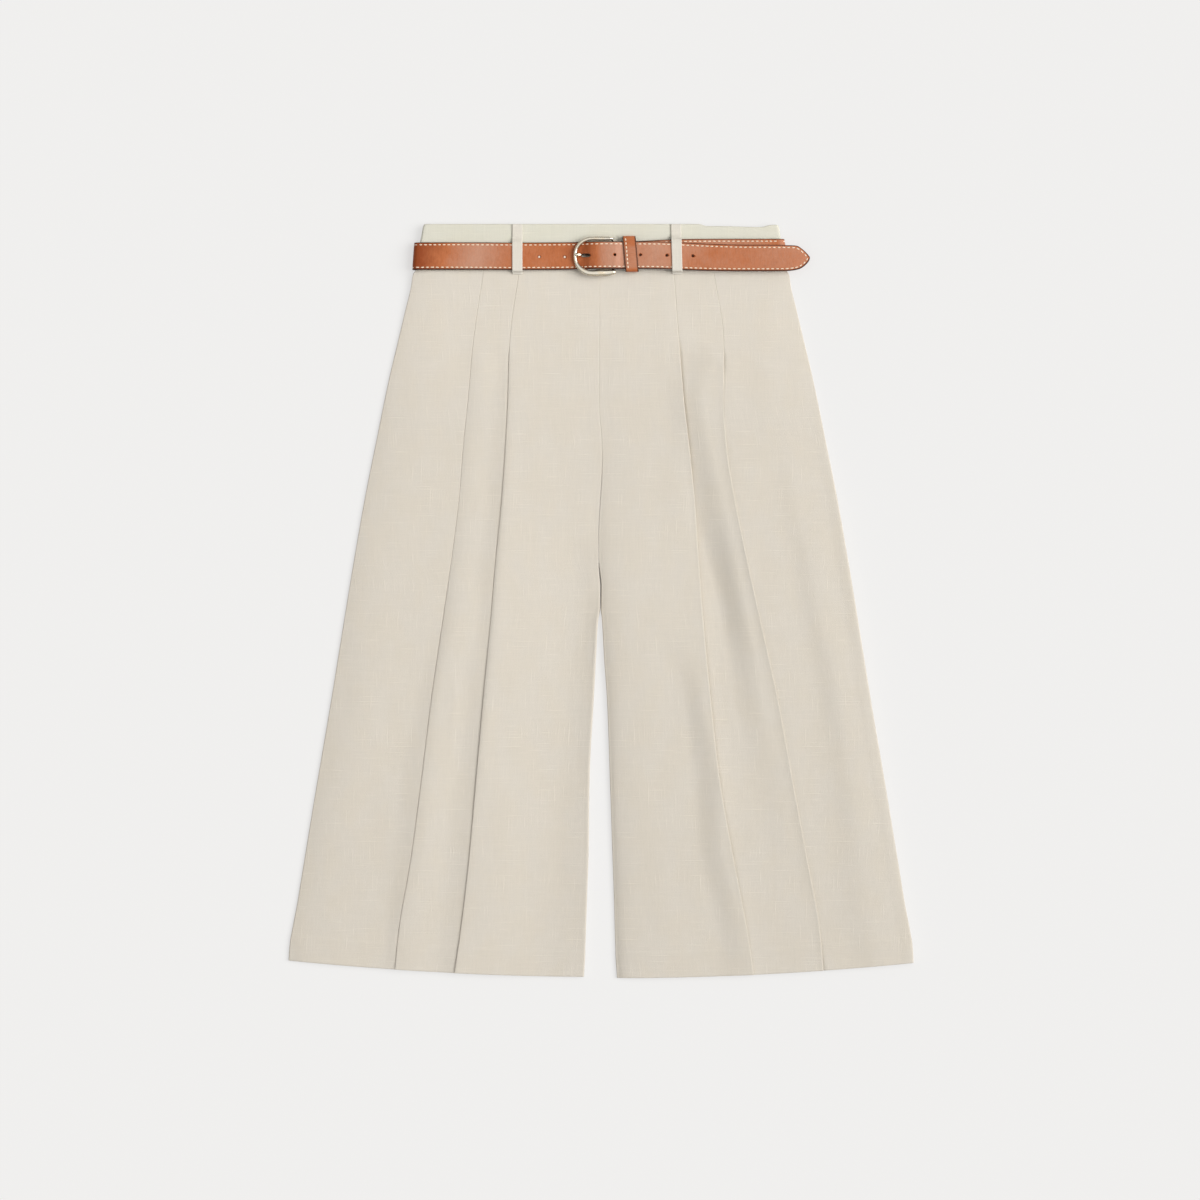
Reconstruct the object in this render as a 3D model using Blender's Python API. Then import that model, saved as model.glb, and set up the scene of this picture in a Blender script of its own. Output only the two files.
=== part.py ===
"""High-waisted long shorts: pleated linen culottes with their own leather belt, laid flat with the front up.

+X is the viewer's right, +Y points to the waist, +Z is up, and the origin is at the middle of the underside.
Two lengths place everything on the garment: "down" is measured from the waist edge towards the hem, and "out" from the
centre line towards the side. Both are in millimetres, as every size here is; the meshes are scaled to metres at the end.
"""

import math

import bmesh
import bpy
import numpy as np

MM = 0.001

# ---------------------------------------------------------------- driving sizes
WAIST_Y = 377.6  # the waist edge's place on Y
CLOTH = 1.0  # one layer of leg cloth
BAND = 2.2  # a waistband, all its layers together
GAP = 0.3  # between pieces
SEAM_DOWN = 45.6  # the waistband seam, just covered by the belt's lower edge
BAND_BACK_Z, BAND_FRONT_Z = 5.0, 7.7  # the middles of the two waistband walls
BAND_WRAP = 5.0  # how far the front half of the waistband reaches round under the back
STACK = CLOTH + GAP  # from one layer of a pleat to the next
LOOP_WIDTH = 10.2
PLEAT_TURN = 4  # points round each edge of a pleat
EDGE_STEPS = (0.0, 0.16, 0.52, 1.0)  # points round a quarter of an edge, closest together at the seam
FULL_TURN = 84  # degrees that an inner edge rolls where the legs are apart

# ---------------------------------------------------------------- tables
# The outline of both legs, and how they lie. half: centre line to side. lift: the back panel's underside over the
# surface. air: from the middle of the back cloth to the middle of the front cloth. edge: the radius of the side folds.
OUTLINE = [
    # down   half    lift  air  edge
    (45.6, 185.0, 3.8, 1.8, 0.90),
    (50.5, 188.4, 3.6, 1.9, 0.95),
    (62.0, 190.2, 2.8, 2.0, 1.15),
    (85.0, 195.8, 1.2, 2.2, 1.60),
    (121.0, 204.4, 0.1, 2.4, 2.00),
    (156.0, 212.7, 0.0, 2.6, 2.00),
    (216.0, 225.0, 0.0, 2.8, 2.00),
    (276.0, 237.0, 0.0, 2.8, 2.00),
    (336.0, 247.5, 0.0, 2.8, 2.00),
    (416.0, 260.6, 0.0, 2.6, 2.00),
    (476.0, 270.3, 0.0, 2.4, 2.00),
    (576.0, 287.3, 0.0, 2.2, 2.00),
    (676.0, 303.7, 0.0, 2.0, 2.00),
    (731.0, 312.6, 0.0, 1.9, 1.90),
    (756.0, 313.4, 0.0, 1.9, 1.80),
]
OUTLINE_COLUMNS = ("down", "half", "lift", "air", "edge")

# Where the two legs meet. seam: how far the seam wanders to the right of the centre line. gap_l and gap_r: from the
# seam to each leg's inner edge. turn: how far the inner edge has rolled towards the back, in degrees.
MIDDLE = [
    # down   seam  gap_l  gap_r  turn
    (45.6, -1.4, 0.15, 0.15, 0),
    (176.0, -1.9, 0.15, 0.15, 0),
    (231.0, 1.2, 0.15, 0.15, 12),
    (307.0, -2.9, 0.15, 0.15, 50),
    (336.0, -2.4, 0.15, 0.15, 75),
    (364.0, 0.2, 0.20, 0.20, 84),
    (384.0, 0.6, 0.30, 0.30, 84),
    (396.0, 0.5, 2.6, 0.5, 84),
    (436.0, 0.0, 5.0, 2.5, 84),
    (476.0, 0.0, 7.2, 5.2, 84),
    (556.0, 0.0, 11.5, 7.4, 84),
    (636.0, 0.0, 12.6, 10.2, 84),
    (676.0, 0.0, 14.1, 11.6, 84),
    (731.0, 0.0, 16.0, 13.4, 84),
    (756.0, 0.0, 17.4, 15.6, 84),
]
MIDDLE_COLUMNS = ("down", "seam", "gap_l", "gap_r", "turn")

# The fold edges of each front's two pleats, and how deep each goes under. The inner and outer fold face the side.
PLEATS = {
    "left": [
        # down  inner  outer  deep_in deep_out
        (45.6, 82.0, 117.5, 19.0, 19.0),
        (121.0, 91.7, 128.4, 20.0, 20.0),
        (176.0, 93.4, 133.4, 20.0, 20.0),
        (226.0, 95.9, 138.4, 20.0, 20.0),
        (276.0, 99.4, 142.4, 20.0, 20.0),
        (336.0, 105.4, 149.9, 20.0, 21.0),
        (396.0, 110.4, 158.9, 20.0, 22.0),
        (476.0, 118.4, 170.4, 21.0, 23.0),
        (556.0, 125.4, 179.9, 22.0, 24.0),
        (636.0, 132.4, 190.4, 23.0, 24.0),
        (706.0, 140.6, 202.2, 24.0, 24.0),
        (756.0, 147.6, 207.2, 24.0, 24.0),
    ],
    "right": [
        (45.6, 72.8, 112.5, 19.0, 19.0),
        (121.0, 80.8, 123.0, 19.0, 20.0),
        (176.0, 82.9, 122.6, 18.0, 20.0),
        (226.0, 88.6, 124.2, 17.0, 18.0),
        (276.0, 93.6, 131.6, 16.0, 18.0),
        (336.0, 97.6, 143.6, 16.0, 19.0),
        (396.0, 102.1, 156.6, 16.0, 20.0),
        (476.0, 109.6, 174.6, 16.0, 21.0),
        (556.0, 118.6, 189.6, 16.0, 22.0),
        (636.0, 132.6, 204.6, 20.0, 23.0),
        (706.0, 147.0, 217.6, 23.0, 23.0),
        (756.0, 153.6, 223.2, 24.0, 24.0),
    ],
}
PLEAT_COLUMNS = ("down", "inner", "outer", "deep_in", "deep_out")

# The largest soft ridges of each front. near and far: how far the ridge reaches towards the centre line and the side.
RIDGES = {
    "left": {
        "rolled inner edge": [
            # down   out  near   far  high
            (200.0, 20.0, 16.0, 26.0, 0.0),
            (300.0, 24.0, 18.0, 30.0, 1.6),
            (400.0, 26.0, 18.0, 36.0, 2.4),
            (756.0, 42.0, 18.0, 40.0, 1.6),
        ],
        "strip behind the outer pleat": [
            (130.0, 110.0, 12.0, 14.0, 0.0),
            (190.0, 116.0, 12.0, 14.0, 1.4),
            (420.0, 142.0, 16.0, 16.0, 1.6),
            (600.0, 166.0, 18.0, 16.0, 0.6),
            (756.0, 186.0, 18.0, 16.0, 0.4),
        ],
        "side": [
            (120.0, 184.0, 30.0, 20.0, 0.0),
            (250.0, 208.0, 34.0, 20.0, 1.8),
            (500.0, 250.0, 40.0, 22.0, 2.2),
            (756.0, 288.0, 44.0, 24.0, 1.2),
        ],
    },
    "right": {
        "rolled inner edge": [
            (200.0, 20.0, 16.0, 26.0, 0.0),
            (300.0, 25.0, 20.0, 30.0, 2.2),
            (400.0, 26.0, 20.0, 36.0, 3.0),
            (756.0, 42.0, 20.0, 40.0, 1.8),
        ],
        "strip inside the outer pleat": [
            (140.0, 100.0, 14.0, 16.0, 0.0),
            (226.0, 106.0, 14.0, 18.0, 1.2),
            (336.0, 134.0, 16.0, 14.0, 2.4),
            (476.0, 160.0, 14.0, 16.0, 2.0),
            (636.0, 191.0, 14.0, 16.0, 1.0),
            (756.0, 206.0, 14.0, 16.0, 0.3),
        ],
        "side": [
            (200.0, 196.0, 16.0, 22.0, 0.0),
            (262.0, 207.0, 18.0, 22.0, 1.8),
            (396.0, 232.0, 18.0, 24.0, 2.4),
            (556.0, 262.0, 18.0, 24.0, 2.0),
            (676.0, 284.0, 20.0, 24.0, 0.9),
            (756.0, 290.0, 24.0, 24.0, 0.5),
        ],
    },
}
RIDGE_COLUMNS = ("down", "out", "near", "far", "high")

# The hem of each leg curves down from the side to the inseam. start: down at the side; drop: further down at the
# inseam; round: how soon it drops.
HEM = {"left": (737.6, 16.3, 1.75), "right": (739.0, 16.6, 1.95)}

# The waistband's half width.
WAIST = [
    # down   half
    (0.0, 177.3),
    (3.0, 178.4),
    (12.0, 180.0),
    (19.0, 181.5),
    (30.0, 182.9),
    (45.3, 184.7),
]
WAIST_COLUMNS = ("down", "half")

FRONT_ROWS = (45.6, 50.5, 62, 85, 121, 160, 205, 245, 285, 325, 364, 396, 445, 500, 560, 625, 690, 1000)
BACK_ROWS = (45.6, 50.5, 62, 85, 121, 185, 231, 307, 350, 396, 476, 580, 676, 1000)
HEM_FROM = 396.0  # the rows below this bend towards the hem's own curve


# ---------------------------------------------------------------- reading the tables
def smooth(xs, ys, x):
    """The table's value at x on a monotone cubic through its rows."""
    xs, ys = np.asarray(xs, float), np.asarray(ys, float)
    x = np.clip(x, xs[0], xs[-1])
    h = np.diff(xs)
    d = np.diff(ys) / h
    m = np.zeros_like(ys)
    same = d[:-1] * d[1:] > 0
    a, b = np.where(same, d[:-1], 1.0), np.where(same, d[1:], 1.0)
    w1, w2 = 2 * h[1:] + h[:-1], h[1:] + 2 * h[:-1]
    m[1:-1] = np.where(same, (w1 + w2) / (w1 / a + w2 / b), 0.0)
    m[0], m[-1] = d[0], d[-1]
    i = np.clip(np.searchsorted(xs, x, side="right") - 1, 0, len(h) - 1)
    t, k = (x - xs[i]) / h[i], h[i]
    return (
        ys[i] * (1 + 2 * t) * (1 - t) ** 2
        + k * m[i] * t * (1 - t) ** 2
        + ys[i + 1] * t * t * (3 - 2 * t)
        + k * m[i + 1] * t * t * (t - 1)
    )


def read(table, columns, name, down):
    rows = np.array(table, float)
    return smooth(rows[:, 0], rows[:, columns.index(name)], down)


def ease(t):
    t = np.clip(t, 0.0, 1.0)
    return t * t * (3 - 2 * t)


def side_of(leg):
    return -1.0 if leg == "left" else 1.0


# ---------------------------------------------------------------- the legs' shape
def outline(name, down):
    return read(OUTLINE, OUTLINE_COLUMNS, name, down)


def pleat(leg, name, down):
    return read(PLEATS[leg], PLEAT_COLUMNS, name, down)


def inner_edge(leg, down):
    """Out from the centre line to the leg's inner edge."""
    seam = read(MIDDLE, MIDDLE_COLUMNS, "seam", down)
    gap = read(MIDDLE, MIDDLE_COLUMNS, "gap_l" if leg == "left" else "gap_r", down)
    return side_of(leg) * seam + gap


def ridge(leg, down, out):
    """How much the soft ridges lift the front at this place."""
    total = np.zeros(np.broadcast(down, out).shape)
    for rows in RIDGES[leg].values():
        at = {c: read(rows, RIDGE_COLUMNS, c, down) for c in RIDGE_COLUMNS[1:]}
        off = out - at["out"]
        reach = np.where(off < 0, at["near"], at["far"])
        total = total + at["high"] * np.exp(-((off / reach) ** 2) * 1.6) * (down > rows[0][0])
    return total


def back_z(down):
    """The middle of the back cloth."""
    return outline("lift", down) + CLOTH / 2


def layer_z(leg, down, out):
    """The middle of a front's lowest layer."""
    edge, air = outline("edge", down), outline("air", down)
    half, inner = outline("half", down), inner_edge(leg, down)
    turn = read(MIDDLE, MIDDLE_COLUMNS, "turn", down)
    at_side = ease(1 - (half - edge - CLOTH / 2 - out) / 28.0)
    at_inner = ease(1 - (out - inner - edge - CLOTH / 2) / 28.0) * np.clip(turn / FULL_TURN, 0, 1)
    window = ease((half - out) / 12.0) * (1 - ease(1 - (out - inner) / 12.0) * ease(turn / 60.0))
    return (
        back_z(down)
        + air
        + (2 * edge - air) * np.maximum(at_side, at_inner)
        + ridge(leg, down, out) * window
    )


def hem_row(leg, row, share):
    """The down of a point on a row, for its share of the way from the side to the inseam."""
    start, drop, round_it = HEM[leg]
    row = np.minimum(row, start)
    bend = ease((row - HEM_FROM) / (start - HEM_FROM))
    return row + bend * drop * (1 - (1 - np.clip(share, 0, 1)) ** round_it)


def seam_angle(edge):
    """How far a side edge stops short of the middle of its fold, so that front and back stay clear of each other."""
    return np.arcsin((GAP / 2 + 0.02) / (edge - CLOTH / 2))


def inner_roll(leg, down):
    """Where a panel's inner edge starts to roll, and how far in and down it has gone at a share of the roll. The roll's
    length stays the same as it opens out flat towards the seam."""
    edge, inner = outline("edge", down), inner_edge(leg, down)
    rolled = np.radians(np.maximum(read(MIDDLE, MIDDLE_COLUMNS, "turn", down), 0.5))
    length = edge * math.radians(FULL_TURN)
    radius = length / rolled
    roll_out = lambda t: radius * np.sin(t * rolled)
    roll_drop = lambda t: radius * (1 - np.cos(t * rolled))
    return inner + roll_out(1.0) + CLOTH / 2 * np.sin(rolled), roll_out, roll_drop


def front_columns():
    """The order of the points across a front, from the side seam to the inner edge: (stretch, share of it)."""
    spread = lambda name, n, ends: [(name, t) for t in np.linspace(0, 1, n + 2)[0 if ends else 1 : None if ends else -1]]
    return (
        [("side edge", t) for t in EDGE_STEPS]
        + spread("side", 6, False)
        + spread("outer under", PLEAT_TURN - 2, True)
        + [("outer middle", 0.5)]
        + spread("outer fold", PLEAT_TURN - 2, True)
        + spread("strip", 5, False)
        + spread("inner under", PLEAT_TURN - 2, True)
        + [("inner middle", 0.5)]
        + spread("inner fold", PLEAT_TURN - 2, True)
        + spread("centre", 7, False)
        + [("inner edge", 1 - t) for t in reversed(EDGE_STEPS)]
    )


def front_point(leg, stretch, t, down):
    """(out, z) of the middle of the cloth at one column of a front."""
    edge, half = outline("edge", down), outline("half", down)
    fold_in, fold_out = pleat(leg, "inner", down), pleat(leg, "outer", down)
    under_in = fold_in - pleat(leg, "deep_in", down)
    under_out = fold_out - pleat(leg, "deep_out", down)
    bend = STACK / 2  # the radius of a pleat's edge
    side_flat = half - CLOTH / 2 - edge
    inner_flat, roll_out, roll_drop = inner_roll(leg, down)
    if stretch == "side edge":
        angle = seam_angle(edge) + t * (math.pi / 2 - seam_angle(edge))
        return side_flat + edge * np.cos(angle), layer_z(leg, down, side_flat) - edge * (1 - np.sin(angle))
    under_of = {"outer": under_out + bend + CLOTH / 2, "inner": under_in + bend + CLOTH / 2}
    fold_of = {"outer": fold_out - bend - CLOTH / 2, "inner": fold_in - bend - CLOTH / 2}
    if stretch == "side":
        # four points up to the pleat, then one under its edge and one under its middle
        step = round(t * 7)
        if step <= 4:
            out = side_flat + step / 5 * (fold_of["outer"] - side_flat)
        else:
            out = fold_of["outer"] if step == 5 else (fold_of["outer"] + under_of["outer"]) / 2
        return out, layer_z(leg, down, out)
    if stretch in ("outer middle", "inner middle"):
        out = (fold_of[stretch[:5]] + under_of[stretch[:5]]) / 2
        return out, layer_z(leg, down, out) + STACK
    if stretch in ("outer under", "inner under"):
        centre = under_of[stretch[:5]]
        angle = -math.pi / 2 - t * math.pi
        out = centre + bend * np.cos(angle)
        return out, layer_z(leg, down, out) + bend * (1 + np.sin(angle))
    if stretch in ("outer fold", "inner fold"):
        centre = fold_of[stretch[:5]]
        angle = -math.pi / 2 + t * math.pi
        out = centre + bend * np.cos(angle)
        return out, layer_z(leg, down, out) + STACK + bend * (1 + np.sin(angle))
    if stretch == "strip":
        slope = np.clip(under_out - 1.0 - (fold_in + 1.0), 6.0, 14.0)
        knee_high, knee_low = under_out - 1.0, under_out - 1.0 - slope
        out = (
            (fold_of["outer"] + under_of["outer"]) / 2,
            knee_high,
            knee_low,
            fold_of["inner"],
            (fold_of["inner"] + under_of["inner"]) / 2,
        )[round(t * 6) - 1]
        level = 2 * STACK * ease((out - knee_low) / slope)
        return out, layer_z(leg, down, out) + level
    if stretch == "centre":
        start = fold_of["inner"]
        knee_high = under_in - 1.0
        knee_low = knee_high - 14.0
        if t < 0.3:
            out = start + (knee_high - start) * (round(t * 8) / 2)
        else:
            out = knee_low + (inner_flat + 2.0 - knee_low) * ((t - 0.375) / 0.5)
        level = 2 * STACK * ease((out - knee_low) / 14.0)
        return out, layer_z(leg, down, out) + level
    # the inner edge, which stays flat at the seam and rolls down where the legs part
    return inner_flat - roll_out(t), layer_z(leg, down, inner_flat) - roll_drop(t)


def front_share(leg, out, down):
    half, inner = outline("half", down), inner_edge(leg, down)
    return (half - out) / (half - inner)


def leg_surface(leg, rows, columns, point):
    """The middle of a leg panel's cloth, as rows of columns of points."""
    start = HEM[leg][0]
    grid = []
    for row in rows:
        row = min(row, start)
        line = []
        for stretch, t in columns:
            out, _ = point(leg, stretch, t, np.float64(row))
            down = hem_row(leg, row, front_share(leg, out, row))
            out, z = point(leg, stretch, t, down)
            line.append((side_of(leg) * float(out), WAIST_Y - float(down), float(z)))
        grid.append(line)
    return grid


def back_columns():
    return (
        [("side edge", t) for t in EDGE_STEPS]
        + [("middle", t) for t in np.linspace(0, 1, 10)[1:-1]]
        + [("inner edge", 1 - t) for t in reversed(EDGE_STEPS)]
    )


def back_point(leg, stretch, t, down):
    """(out, z) of the middle of the cloth at one column of a back."""
    edge, half = outline("edge", down), outline("half", down)
    side_flat = half - CLOTH / 2 - edge
    inner_flat, roll_out, roll_drop = inner_roll(leg, down)
    z = back_z(down)
    if stretch == "side edge":
        angle = (math.pi / 2 - seam_angle(edge)) * (1 - t)
        return side_flat + edge * np.sin(angle), z + edge * (1 - np.cos(angle))
    if stretch == "middle":
        return side_flat + t * (inner_flat - side_flat), z + 0.0 * t
    return inner_flat - roll_out(t), z + roll_drop(t)


def front_top(leg, out, down):
    """The height of the front's upper surface, pleats included, for what lies on it."""
    fold_in, fold_out = pleat(leg, "inner", down), pleat(leg, "outer", down)
    under_in = fold_in - pleat(leg, "deep_in", down)
    under_out = fold_out - pleat(leg, "deep_out", down)
    slope = np.clip(under_out - 1.0 - (fold_in + 1.0), 6.0, 14.0)
    centre = ease((out - (under_in - 15.0)) / 14.0) * (out < fold_in)
    strip = ease((out - (under_out - 1.0 - slope)) / slope) * (out >= fold_in) * (out < fold_out)
    return layer_z(leg, down, out) + CLOTH / 2 + 2 * STACK * (centre + strip)


# ---------------------------------------------------------------- making meshes
def clear_scene():
    for old in list(bpy.data.objects):
        bpy.data.objects.remove(old, do_unlink=True)


def finish(name, bm, material, smooth_under=50):
    bmesh.ops.triangulate(bm, faces=bm.faces[:])
    mesh = bpy.data.meshes.new(name)
    bm.to_mesh(mesh)
    bm.free()
    mesh.materials.append(material)
    mesh.shade_smooth()
    mesh.set_sharp_from_angle(angle=math.radians(smooth_under))
    obj = bpy.data.objects.new(name, mesh)
    bpy.context.scene.collection.objects.link(obj)
    obj.parent = root
    return obj


def cloth(name, grid, thickness, material):
    """A closed wall of cloth, half its thickness on either side of the grid of points."""
    bm = bmesh.new()
    points = np.array(grid) * MM
    sheet = [[bm.verts.new(p) for p in line] for line in points]
    for upper, lower in zip(sheet, sheet[1:]):
        for a, b, c, d in zip(upper, upper[1:], lower[1:], lower):
            bm.faces.new((a, b, c, d))
    bmesh.ops.recalc_face_normals(bm, faces=bm.faces[:])
    obj = finish(name, bm, material)
    solid = obj.modifiers.new("wall", "SOLIDIFY")
    solid.thickness = thickness * MM
    solid.offset = 0.0
    solid.use_even_offset = True
    solid.use_quality_normals = True
    return obj


def swept(name, rings, material, closed=False, smooth_under=40):
    """A solid through rings of points, bridged one to the next, with filled ends unless it closes on itself."""
    bm = bmesh.new()
    loops = [[bm.verts.new(np.array(p) * MM) for p in ring] for ring in rings]
    pairs = list(zip(loops, loops[1:])) + ([(loops[-1], loops[0])] if closed else [])
    for one, two in pairs:
        for i in range(len(one)):
            j = (i + 1) % len(one)
            bm.faces.new((one[i], one[j], two[j], two[i]))
    if not closed:
        bm.faces.new(loops[0][::-1])
        bm.faces.new(loops[-1])
    bmesh.ops.recalc_face_normals(bm, faces=bm.faces[:])
    return finish(name, bm, material, smooth_under)


def rings_along(path, radii, sides, closed=False):
    """Round rings square to a path of points. A radius may be (across, up)."""
    path = [np.array(p, float) for p in path]
    rings = []
    for i, p in enumerate(path):
        ahead = path[(i + 1) % len(path)] if closed or i + 1 < len(path) else p
        behind = path[i - 1] if closed or i else p
        along = (ahead - behind) / np.linalg.norm(ahead - behind)
        across = np.cross(along, (0, 0, 1.0))
        across /= np.linalg.norm(across)
        up = np.cross(across, along)
        wide, high = radii[i]
        rings.append(
            [p + wide * math.cos(a) * across + high * math.sin(a) * up for a in np.linspace(0, 2 * math.pi, sides, endpoint=False)]
        )
    return rings


def cutter(name, length, radius, centre, stretch=0.0, sides=12):
    """A guide that cuts a round hole or a slot down through the strap. It isn't part of the model."""
    bm = bmesh.new()
    outline_points = []
    for a in np.linspace(0, 2 * math.pi, sides, endpoint=False) + math.pi / sides:
        x = radius * math.cos(a) + (stretch / 2) * (1 if math.cos(a) > 0 else -1)
        outline_points.append((x, radius * math.sin(a)))
    low = [bm.verts.new(np.array((centre[0] + x, centre[1] + y, centre[2] - length / 2)) * MM) for x, y in outline_points]
    high = [bm.verts.new(np.array((centre[0] + x, centre[1] + y, centre[2] + length / 2)) * MM) for x, y in outline_points]
    for i in range(sides):
        j = (i + 1) % sides
        bm.faces.new((low[i], low[j], high[j], high[i]))
    bm.faces.new(low[::-1])
    bm.faces.new(high)
    bmesh.ops.recalc_face_normals(bm, faces=bm.faces[:])
    obj = finish(name, bm, leather)
    obj.hide_render = True
    obj.display_type = "WIRE"
    return obj


def cut(obj, guide):
    hole = obj.modifiers.new(guide.name, "BOOLEAN")
    hole.operation = "DIFFERENCE"
    hole.solver = "EXACT"
    hole.object = guide


def finish_of(name, colour, roughness, metallic=0.0):
    material = bpy.data.materials.new(name)
    material.use_nodes = True
    shader = material.node_tree.nodes["Principled BSDF"]
    shader.inputs["Base Color"].default_value = (*colour, 1.0)
    shader.inputs["Roughness"].default_value = roughness
    shader.inputs["Metallic"].default_value = metallic
    material.diffuse_color = (*colour, 1.0)
    return material


# ---------------------------------------------------------------- the model
clear_scene()
root = bpy.data.objects.new("garment", None)
bpy.context.scene.collection.objects.link(root)
linen = finish_of("linen", (0.70, 0.65, 0.55), 0.9)
leather = finish_of("tan leather", (0.47, 0.20, 0.09), 0.45)
metal = finish_of("pale gold", (0.83, 0.74, 0.58), 0.2, 1.0)

# Leg panels.
for leg in ("left", "right"):
    cloth(f"front_{leg}", leg_surface(leg, FRONT_ROWS, front_columns(), front_point), CLOTH, linen)
    cloth(f"back_{leg}", leg_surface(leg, BACK_ROWS, back_columns(), back_point), CLOTH, linen)


# Waistband: each half bends round at the sides to meet the other.
def band_grid(z, wraps, rows, top_edge):
    """The front half wraps round both sides and meets the back half underneath."""
    turn = (BAND_FRONT_Z - BAND_BACK_Z) / 2
    grid = []
    for down in rows:
        half = float(read(WAIST, WAIST_COLUMNS, "half", down))
        flat = half - BAND / 2 - turn
        reach = flat if wraps else flat - BAND_WRAP - GAP
        line = [(x, z) for x in np.linspace(-reach, reach, 16)]
        if wraps:
            round_side = [(flat + turn * math.cos(a), z - turn + turn * math.sin(a)) for a in np.linspace(math.pi / 2, -math.pi / 2, 7)[1:]]
            round_side.append((flat - BAND_WRAP, BAND_BACK_Z))
            line = [(-x, h) for x, h in reversed(round_side)] + line + round_side
        grid.append([(x, WAIST_Y - down - top_edge(x) * (1 - down / SEAM_DOWN), h) for x, h in line])
    return grid


def dip(x):
    """The waist edge sags a little towards the right."""
    return 0.2 + 2.0 * float(ease((x - 98.0) / 8.0) * ease((172.0 - x) / 12.0))


cloth("waistband_front", band_grid(BAND_FRONT_Z, True, (0.0, 3.0, 12.0, 19.0, 30.0, SEAM_DOWN - GAP - 0.1), dip), BAND, linen)
cloth("waistband_back", band_grid(BAND_BACK_Z, False, (0.0, 3.0, 12.0, 19.0, 30.0, SEAM_DOWN - GAP - 0.1), dip), BAND, linen)

# ---------------------------------------------------------------- the belt
BAR = (13.4, 11.8)  # x and z of the buckle's bar
BAR_RADIUS = 1.3
WRAP = BAR_RADIUS + GAP + 0.5  # the bar to the middle of the leather round it
RIGHT_TURN, LEFT_TURN = (180.4, 6.5, 4.1), (-182.8, 6.5, 4.1)  # x, z and radius where the belt bends round the sides
RIGHT_SLANT, LEFT_SLANT = 0.14, -0.07  # how the two bends follow the sloping sides

# The runs of the strap, in order from the turned-back end to the tip. z is its middle, centre the down of its centre line.
TURNED_BACK = [
    # x      z    centre thick half
    (54.6, 11.0, 31.0, 1.0, 13.8),
    (38.0, 11.0, 31.4, 1.0, 13.8),
    (24.0, 11.0, 31.7, 1.0, 13.8),
    (19.5, 10.7, 31.8, 1.0, 13.8),
    (16.5, 10.0, 31.8, 1.0, 13.8),
]
INNER_RUN = [
    (16.5, 13.6, 31.8, 1.0, 13.8),
    (19.5, 13.0, 31.8, 1.1, 13.8),
    (24.0, 12.5, 31.7, 1.2, 13.8),
    (38.0, 12.4, 31.2, 1.2, 13.8),
    (54.6, 12.4, 30.4, 1.2, 13.8),
    (61.0, 12.0, 30.0, 2.0, 13.8),
    (76.0, 11.2, 29.4, 2.2, 13.8),
    (100.0, 10.6, 29.0, 2.2, 13.8),
    (150.0, 10.6, 28.9, 2.2, 13.8),
]
BACK_RUN = [
    (120.0, 2.4, 29.5, 2.2, 13.8),
    (0.0, 2.4, 31.0, 2.2, 13.8),
    (-120.0, 2.4, 32.2, 2.2, 13.8),
]
OUTER_RUN = [
    (-150.0, 10.6, 32.3, 2.2, 13.7),
    (-80.0, 10.6, 32.6, 2.2, 13.7),
    (-26.5, 10.6, 32.2, 2.2, 13.7),
    (-22.0, 11.0, 32.1, 2.2, 13.7),
    (-18.0, 12.0, 32.0, 2.2, 13.7),
    (-14.0, 13.8, 32.0, 2.2, 13.7),
    (-10.4, 15.3, 31.9, 2.2, 13.7),
    (-5.0, 16.2, 31.9, 2.2, 13.7),
    (4.0, 16.6, 31.8, 2.2, 13.7),
    (13.4, 16.6, 31.8, 2.2, 13.7),
    (16.5, 16.0, 31.8, 2.2, 13.7),
    (19.5, 15.1, 31.8, 2.2, 13.7),
    (22.0, 14.7, 31.8, 2.2, 13.7),
    (25.0, 14.45, 31.8, 2.2, 13.7),
    (54.0, 14.4, 31.9, 2.2, 13.7),
    (76.0, 13.8, 32.6, 2.2, 13.7),
    (90.0, 13.3, 33.2, 2.2, 13.6),
    (110.0, 13.1, 33.9, 2.2, 13.5),
    (140.0, 13.1, 34.5, 2.2, 13.2),
    (175.0, 13.1, 34.6, 2.2, 13.1),
    (185.0, 12.9, 34.6, 2.2, 13.0),
    (191.0, 12.6, 34.4, 2.2, 12.7),
    (196.0, 12.4, 34.2, 2.2, 12.0),
    (201.2, 12.0, 34.7, 2.2, 9.3),
    (205.6, 11.7, 34.9, 2.2, 5.4),
    (207.6, 11.6, 34.8, 2.2, 3.0),
    (208.8, 11.5, 34.3, 2.2, 0.9),
]
RUN_COLUMNS = ("x", "z", "centre", "thick", "half")
HOLES = [-61.8, -36.3, 13.9, 39.3, 65.8, 91.7]  # x of the round holes
HOLE_DOWN = [32.4, 32.5, 31.4, 31.6, 32.0, 32.3]
HOLE_RADIUS = 1.4
PRONG_SLOT = (-14.9, 31.3, 6.4)  # x, down and straight length of the hole that the prong pulls long
EDGE_BEVEL = 0.35


def strap_path():
    """(x, z, centre, thick, half, slant) along the strap's middle."""
    rows = [(*r, 0.0) for r in TURNED_BACK]
    for a in np.linspace(-90, -270, 7):
        a = math.radians(a)
        rows.append((BAR[0] + WRAP * math.cos(a), BAR[1] + WRAP * math.sin(a), 31.8, 1.0, 13.8, 0.0))
    rows += [(*r, 0.0) for r in INNER_RUN]
    x, z, r = RIGHT_TURN
    rows += [(x + r * math.cos(math.radians(a)), z + r * math.sin(math.radians(a)), 28.9, 2.2, 13.8, RIGHT_SLANT) for a in np.linspace(90, -90, 9)]
    rows += [(*r, 0.0) for r in BACK_RUN]
    x, z, r = LEFT_TURN
    rows += [(x + r * math.cos(math.radians(a)), z + r * math.sin(math.radians(a)), 32.4, 2.2, 13.7, LEFT_SLANT) for a in np.linspace(-90, -270, 9)]
    return rows + [(*r, 0.0) for r in OUTER_RUN]


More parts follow.
